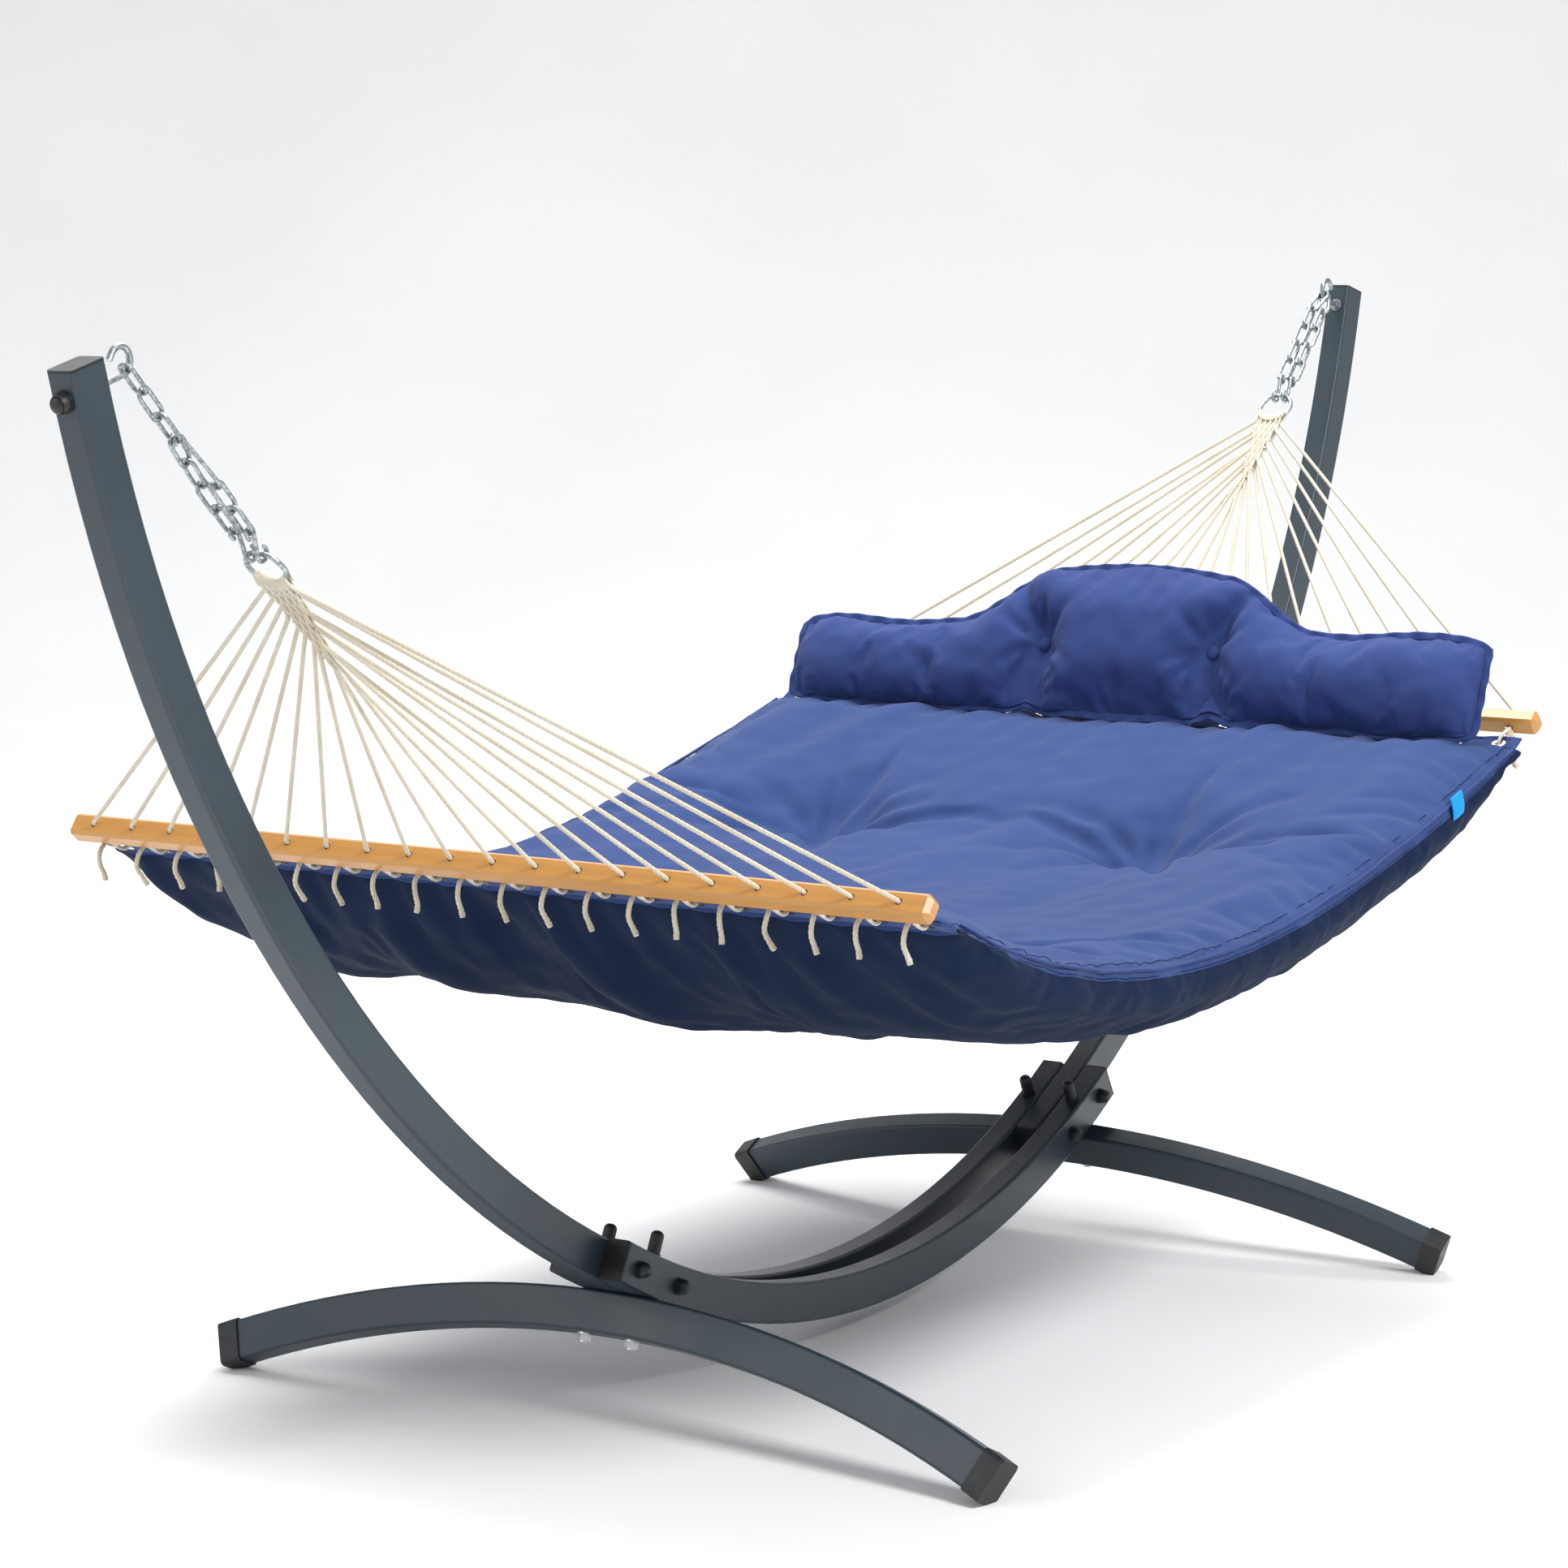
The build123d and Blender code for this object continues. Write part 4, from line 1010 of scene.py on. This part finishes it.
class HAMMOCK_OT_hems(bpy.types.Operator):
    """Makes the stitched end strips that the grommets are set in"""
    bl_idname = "hammock.hems"
    bl_label = "End hems"

    def execute(self, context):
        cell = 3.5 * MM
        pitch = settings().rope_pitch
        long_cells = int(2 * HEM_HALF_LENGTH / cell)
        wide_cells = int(HEM_WIDTH / cell)
        for side in SIDES:
            way, normal = hem_ways(side)
            knot = knot_place(side, 0)
            start = Vector((knot.x, 0, knot.z)) + way * HEM_START
            grommet = LOOP_LENGTH - HEM_START
            vertices, faces, threads = [], [], []
            for wide in range(wide_cells + 1):
                for long in range(long_cells + 1):
                    y = -HEM_HALF_LENGTH + long * cell
                    part = wide / wide_cells
                    slack = 0.5 - 0.5 * math.cos(2 * math.pi * (y / pitch - 0.5))
                    down = part * HEM_WIDTH + (1 - part) ** 2 * slack * 5 * MM
                    flutter = slack * (1 - part) * 3 * MM * math.sin(y * 37 + SIDES[side])
                    vertices.append(start + way * down + Vector((0, y, 0)) + normal * flutter)
            for wide in range(wide_cells):
                for long in range(long_cells):
                    y = -HEM_HALF_LENGTH + (long + 0.5) * cell
                    near = (y / pitch - 0.5) - round(y / pitch - 0.5)
                    if math.hypot(near * pitch, (wide + 0.5) * cell - grommet) > 7.2 * MM:
                        base = wide * (long_cells + 1) + long
                        faces.append((base, base + 1, base + long_cells + 2, base + long_cells + 1))
            piece = add_piece(f"end_hem_{side}", vertices, faces, ["woven_polyester_blue"], "hammock")
            thick = piece.modifiers.new("thickness", "SOLIDIFY")
            thick.thickness = 3 * MM
            thick.offset = 0
            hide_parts(f"bed_hem_{side}")
            for down in (7 * MM, 11 * MM, 36 * MM):
                line = [start + way * down + Vector((0, y, 0)) + normal * 1.7 * MM
                        for y in (-HEM_HALF_LENGTH + 6 * MM, HEM_HALF_LENGTH - 6 * MM)]
                threads += stitch_lots(np.array(line), tuple(normal))
            vertices, faces = merged(threads)
            add_piece(f"hem_stitches_{side}", vertices, faces, ["bonded_nylon_thread"], "hammock")
        return {"FINISHED"}


class HAMMOCK_OT_tag(bpy.types.Operator):
    """Makes the blank folded tag on the bed's front edge"""
    bl_idname = "hammock.tag"
    bl_label = "Tag"

    def execute(self, context):
        low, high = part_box("side_tag")
        x0, x1 = low[0] + 3 * MM, high[0] - 3 * MM
        profile = []
        for step in range(25):
            part = step / 24
            layer = 1 if part < 0.5 else -1
            down = 1 - abs(2 * part - 1)
            rise = 14 * MM - 34 * MM * down
            out = (5 + 7 * math.sin(down * 1.8)) * MM + layer * 0.9 * MM * (1 - down ** 6)
            profile.append((out, rise))
        columns = 14
        vertices, faces = [], []
        for column_at in range(columns + 1):
            x = x0 + (x1 - x0) * column_at / columns
            for out, rise in profile:
                curl = 1.5 * MM * math.sin(column_at / columns * math.pi) * (14 * MM - rise) / (34 * MM)
                vertices.append((x + 0.12 * rise, -PAD_HALF_WIDTH - out - curl, side_height(x) + rise))
        count = len(profile)
        for column_at in range(columns):
            for index in range(count - 1):
                base = column_at * count + index
                faces.append((base, base + 1, base + count + 1, base + count))
        piece = add_piece("blank_tag", vertices, faces, ["woven_label_tape"], "hammock")
        thick = piece.modifiers.new("thickness", "SOLIDIFY")
        thick.thickness = 0.8 * MM
        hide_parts("side_tag")
        return {"FINISHED"}


# ---- the pillow ------------------------------------------------------------------------------
PILLOW_LEAN = math.radians(24)
PILLOW_HALF_LENGTH = 636 * MM
PILLOW_WING = 152 * MM
PILLOW_DOME = 246 * MM
DOME_HALF = 150 * MM
DOME_FOOT = 330 * MM
PILLOW_THICKNESS = 92 * MM
BUTTON_ACROSS = 158 * MM
BUTTON_UP = 118 * MM
PINCH_ACROSS = 172 * MM


def pillow_axes():
    """The pillow's base point, the way up along it, and the way out of its front."""
    low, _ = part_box("pillow")
    base = Vector((low[0] + 33 * MM, 0, low[2] + 11 * MM))
    up = Vector((math.sin(PILLOW_LEAN), 0, math.cos(PILLOW_LEAN)))
    return base, up, Vector((-math.cos(PILLOW_LEAN), 0, math.sin(PILLOW_LEAN)))


def pillow_top(y):
    """The height of the pillow's upper edge along it."""
    part = np.clip((DOME_FOOT - np.abs(y)) / (DOME_FOOT - DOME_HALF), 0, 1)
    step = part * part * (3 - 2 * part)
    crown = np.clip(1 - (y / DOME_HALF) ** 2, 0, 1) * 12 * MM
    wing = PILLOW_WING - 12 * MM * y / PILLOW_HALF_LENGTH + 4 * MM * np.sin(y * 23 + 1.1)
    corner = 13 * MM * np.exp((np.abs(y) - PILLOW_HALF_LENGTH) / 0.018)
    return wing + (PILLOW_DOME - wing) * step + crown - corner


def pillow_bottom(y):
    """Drawn up where the pleats meet the lower seam."""
    corner = 10 * MM * np.exp((np.abs(y) - PILLOW_HALF_LENGTH) / 0.018)
    pinch = 15 * MM * np.exp(-((np.abs(y) - PINCH_ACROSS) / 0.026) ** 2)
    return pinch + corner + 3 * MM * np.sin(y * 19) ** 2


def add_pillow_piece(name, vertices, faces, material="woven_polyester_pillow"):
    return add_piece(name, vertices, faces, [material], "pillow")


class HAMMOCK_OT_pillow(bpy.types.Operator):
    """Makes the long pillow with its raised middle, buttons, pleats and flanges"""
    bl_idname = "hammock.pillow"
    bl_label = "Pillow"

    def execute(self, context):
        base, up, out = pillow_axes()
        across, tall = 150, 30
        ys = np.linspace(-PILLOW_HALF_LENGTH, PILLOW_HALF_LENGTH, across + 1)
        vs = (1 - np.cos(np.linspace(0, math.pi, tall + 1))) / 2
        y, v = np.meshgrid(ys, vs, indexing="ij")
        low, high = pillow_bottom(y), pillow_top(y)
        h = low + (high - low) * v
        taper = np.clip(1 - np.abs(y / PILLOW_HALF_LENGTH) ** 14, 0, 1) ** 0.5
        round_part = np.clip(1 - np.abs(2 * v - 1) ** 2.6, 0, 1) ** 0.55
        depth = PILLOW_THICKNESS / 2 * round_part * taper * 0.82
        crease = PINCH_ACROSS + (np.clip(h / BUTTON_UP, 0, 1) * (BUTTON_ACROSS - PINCH_ACROSS)
                                 + np.clip((h - BUTTON_UP) / (PILLOW_DOME - BUTTON_UP), 0, 1) * 62 * MM)
        near = np.exp(-((np.abs(y) - crease) / 0.026) ** 2)
        hold = np.clip(1.25 - np.abs(h - BUTTON_UP * 0.5) / 0.16, 0.2, 1)
        depth *= 1 - 0.72 * near * hold
        button = np.exp(-(np.hypot(np.abs(y) - BUTTON_ACROSS, h - BUTTON_UP) / 0.026) ** 2)
        front_depth = depth - button * 0.5 * depth
        front = self.place(base, up, out, y, h, front_depth)
        back = self.place(base, up, out, y, h, -depth * (1 - 0.25 * button))
        piece, border = self.make_shell(front, back, across, tall)
        pinned = [(index, 1.0) for index in border]
        for index in range((across + 1) * (tall + 1)):
            row, column_at = divmod(index, tall + 1)
            aside, above = abs(y[row, column_at]) - BUTTON_ACROSS, h[row, column_at] - BUTTON_UP
            if math.hypot(aside, above) < 12 * MM:
                pinned.append((index, 1.0))
        inflate(piece, 4.0, 0.04, 16 * MM, pinned)
        smooth_once(piece)
        self.add_pleats(piece, base, up, out)
        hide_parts("pillow")
        self.make_flange(base, up, out)
        self.make_buttons(piece, base, up, out)
        self.make_tabs(base, up, out)
        return {"FINISHED"}

    def place(self, base, up, out, y, h, depth):
        points = np.zeros(y.shape + (3,))
        points += np.array(base)
        points[..., 1] += y
        points += h[..., None] * np.array(up) + depth[..., None] * np.array(out)
        return points

    def make_shell(self, front, back, across, tall):
        count = (across + 1) * (tall + 1)
        vertices = np.concatenate([front.reshape(-1, 3), back.reshape(-1, 3)])
        index = np.arange(count).reshape(across + 1, tall + 1)
        other = index + count
        rim = (index == -1)
        rim[0, :] = rim[-1, :] = rim[:, 0] = rim[:, -1] = True
        other[rim] = index[rim]
        faces = []
        for grid, flip in ((index, -1), (other, 1)):
            for row in range(across):
                for column_at in range(tall):
                    face = (grid[row, column_at], grid[row + 1, column_at], grid[row + 1, column_at + 1],
                            grid[row, column_at + 1])
                    faces.append(tuple(int(corner) for corner in face[::flip]))
        seam = (front + back) / 2
        vertices[index[rim]] = seam[rim]
        piece = add_pillow_piece("head_pillow", vertices, faces)
        loose = bmesh.new()
        loose.from_mesh(piece.data)
        loose.verts.ensure_lookup_table()
        unused = [vertex for vertex in loose.verts if not vertex.link_faces]
        bmesh.ops.delete(loose, geom=unused, context="VERTS")
        loose.to_mesh(piece.data)
        loose.free()
        return piece, [int(number) for number in index[rim]]

    def add_pleats(self, piece, base, up, out):
        """Creases that run from each button to the lower pinch, the shoulder and outwards."""
        points = coordinates(piece.data)
        normals = normals_of(piece.data)
        local = points - np.array(base)
        y, h = local[:, 1], local @ np.array(up)
        face = np.clip(np.abs(normals @ np.array(out)) * 1.6, 0, 1)
        pressed = np.zeros(len(points))
        for sign in (-1, 1):
            lines = [(math.pi / 2 + sign * lean, reach, weight) for lean, reach, weight in (
                (-0.45, 0.15, 1.0), (-0.95, 0.12, 0.6), (0.05, 0.12, 0.5), (0.65, 0.13, 0.5),
                (math.pi - 0.12, 0.16, 1.4), (math.pi + 0.35, 0.15, 0.9), (math.pi - 0.6, 0.14, 0.8),
                (math.pi - 1.15, 0.12, 0.5), (math.pi + 0.9, 0.12, 0.5))]
            pressed += draw_creases(y, h, (sign * BUTTON_ACROSS, BUTTON_UP), lines, 8 * MM, 24 * MM)
            rays = [(math.pi / 2 + lean, reach, 1.0) for lean, reach in (
                (-0.7, 0.11), (-0.35, 0.12), (0.0, 0.10), (0.4, 0.12), (0.8, 0.12), (1.2, 0.1), (-1.1, 0.1))]
            pressed += draw_creases(y, h, (sign * PINCH_ACROSS, 6 * MM), rays, 8 * MM, 14 * MM)
        soft = ripples(points, 0.11, 5.0) * 9 * MM
        small = ripples(points, 0.036, 8.0) * 2.4 * MM
        ends = np.clip((PILLOW_HALF_LENGTH - np.abs(y)) / 0.02, 0, 1)
        pressed = np.minimum(pressed * face, 0.6 * np.abs(local @ np.array(out)))
        lift = (-pressed + soft + small) * ends * np.clip(face + 0.3, 0, 1)
        set_coordinates(piece.data, points + normals * lift[:, None])

    def outline(self, count=90):
        """The pillow's seam line, as distances across and up."""
        ys = np.linspace(-PILLOW_HALF_LENGTH, PILLOW_HALF_LENGTH, count)
        top = np.stack([ys, pillow_top(ys)], axis=1)
        low = np.stack([ys, pillow_bottom(ys)], axis=1)[::-1]
        return np.concatenate([top, low])

    def make_flange(self, base, up, out):
        """The flat stitched edge round the pillow."""
        seam = self.outline()
        closed = np.concatenate([seam, seam[:1]])
        flat = np.stack([closed[:, 0], closed[:, 1], np.zeros(len(closed))], axis=1)
        run, at = even_points(flat, 6 * MM)
        run, at = run[:-1], at[:-1]
        ahead = np.roll(run, -1, axis=0) - np.roll(run, 1, axis=0)
        ahead /= np.linalg.norm(ahead, axis=1)[:, None]
        away = np.stack([-ahead[:, 1], ahead[:, 0]], axis=1)
        vertices, faces = [], []
        widths = (-5, 0, 3, 6, 9)
        for index, (point, aside) in enumerate(zip(run, away)):
            wave = math.sin(at[index] * 2 * math.pi / 0.043 + 2 * math.sin(at[index] * 9))
            for width in widths:
                reach = width * MM
                lift = wave * 2.6 * MM * max(0, width) / 9
                vertices.append(base + Vector((0, point[0] + aside[0] * reach, 0))
                                + up * (point[1] + aside[1] * reach) + out * lift)
        row = len(widths)
        for index in range(len(run)):
            nxt = (index + 1) % len(run)
            for step in range(row - 1):
                here, there = index * row + step, nxt * row + step
                faces.append((here, there, there + 1, here + 1))
        piece = add_pillow_piece("pillow_flange", vertices, faces)
        thick = piece.modifiers.new("thickness", "SOLIDIFY")
        thick.thickness = 2 * MM
        thick.offset = 0

    def make_buttons(self, pillow, base, up, out):
        """Buttons covered in the pillow's own fabric, drawn down into it."""
        points = coordinates(pillow.data) - np.array(base)
        y, h, depth = points[:, 1], points @ np.array(up), points @ np.array(out)
        lots = []
        for sign in (-1, 1):
            near = np.hypot(y - sign * BUTTON_ACROSS, h - BUTTON_UP) < 11 * MM
            seat = depth[near & (depth > 0)].max()
            profile = [(0.0, 6.2), (4.0, 6.0), (8.0, 5.0), (11.0, 3.2), (12.6, 0.8), (12.2, -1.6),
                       (9.0, -3.0)]
            around = 28
            vertices, faces = [], []
            for reach, lift in profile:
                for step in range(around):
                    turn = 2 * math.pi * step / around
                    pucker = 1 + 0.03 * math.sin(turn * 7) * (reach / 12)
                    aside = sign * BUTTON_ACROSS + reach * MM * math.cos(turn) * pucker
                    vertices.append(base + Vector((0, aside, 0))
                                    + up * (BUTTON_UP + reach * MM * math.sin(turn) * pucker)
                                    + out * (seat - 2 * MM + lift * MM))
            for ring in range(len(profile) - 1):
                for step in range(around):
                    nxt = (step + 1) % around
                    faces.append((ring * around + step, ring * around + nxt, (ring + 1) * around + nxt,
                                  (ring + 1) * around + step))
            lots.append((np.array([tuple(v) for v in vertices]), faces))
        vertices, faces = merged(lots)
        piece = add_pillow_piece("covered_buttons", vertices, faces)
        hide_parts("pillow_buttons")

    def make_tabs(self, base, up, out):
        """Short folded tabs behind the shoulders of the raised middle."""
        lots = []
        for sign in (-1, 1):
            y0 = sign * 222 * MM
            high = float(pillow_top(np.array(y0)))
            vertices, faces = [], []
            for column_at in range(7):
                aside = (column_at / 6 - 0.5) * 34 * MM
                for step in range(13):
                    part = step / 12 * math.pi
                    rise = 11 * MM * math.sin(part) + high - 3 * MM - abs(aside) * 0.1
                    vertices.append(base + Vector((0, y0 + aside, 0)) + up * (rise - sign * aside * 0.62)
                                    + out * (-6 * MM + 3.4 * MM * math.cos(part)))
            for column_at in range(6):
                for step in range(12):
                    first = column_at * 13 + step
                    faces.append((first, first + 1, first + 14, first + 13))
            lots.append((np.array([tuple(v) for v in vertices]), faces))
        vertices, faces = merged(lots)
        # The tabs take the painted-shade copy of the blue cover, as they sit behind the pillow.
        piece = add_pillow_piece("shoulder_tabs", vertices, faces, "woven_polyester_blue_painted_shade")
        thick = piece.modifiers.new("thickness", "SOLIDIFY")
        thick.thickness = 1.4 * MM


# ---- the sidebar and the run -----------------------------------------------------------------
OPERATORS = (HAMMOCK_OT_stage, HAMMOCK_OT_finishes, HAMMOCK_OT_tails, HAMMOCK_OT_ropes, HAMMOCK_OT_bed,
             HAMMOCK_OT_hems, HAMMOCK_OT_tag, HAMMOCK_OT_pillow)


class HAMMOCK_PT_sidebar(bpy.types.Panel):
    """Lists the steps that build the hammock"""
    bl_idname = "HAMMOCK_PT_sidebar"
    bl_label = "Hammock"
    bl_space_type = "VIEW_3D"
    bl_region_type = "UI"
    bl_category = "Hammock"

    def draw(self, context):
        for name in HammockSettings.__annotations__:
            self.layout.prop(context.scene.hammock, name)
        for operator in OPERATORS:
            self.layout.operator(operator.bl_idname)


def register():
    for kind in (HammockSettings, *OPERATORS, HAMMOCK_PT_sidebar):
        bpy.utils.register_class(kind)
    bpy.types.Scene.hammock = bpy.props.PointerProperty(type=HammockSettings)


def unregister():
    del bpy.types.Scene.hammock
    for kind in reversed((HammockSettings, *OPERATORS, HAMMOCK_PT_sidebar)):
        bpy.utils.unregister_class(kind)


def main():
    register()
    bpy.ops.hammock.stage()
    bpy.ops.hammock.finishes()
    bpy.ops.hammock.tails()
    bpy.ops.hammock.ropes()
    bpy.ops.hammock.bed()
    bpy.ops.hammock.hems()
    bpy.ops.hammock.tag()
    bpy.ops.hammock.pillow()


if __name__ == "__main__":
    main()
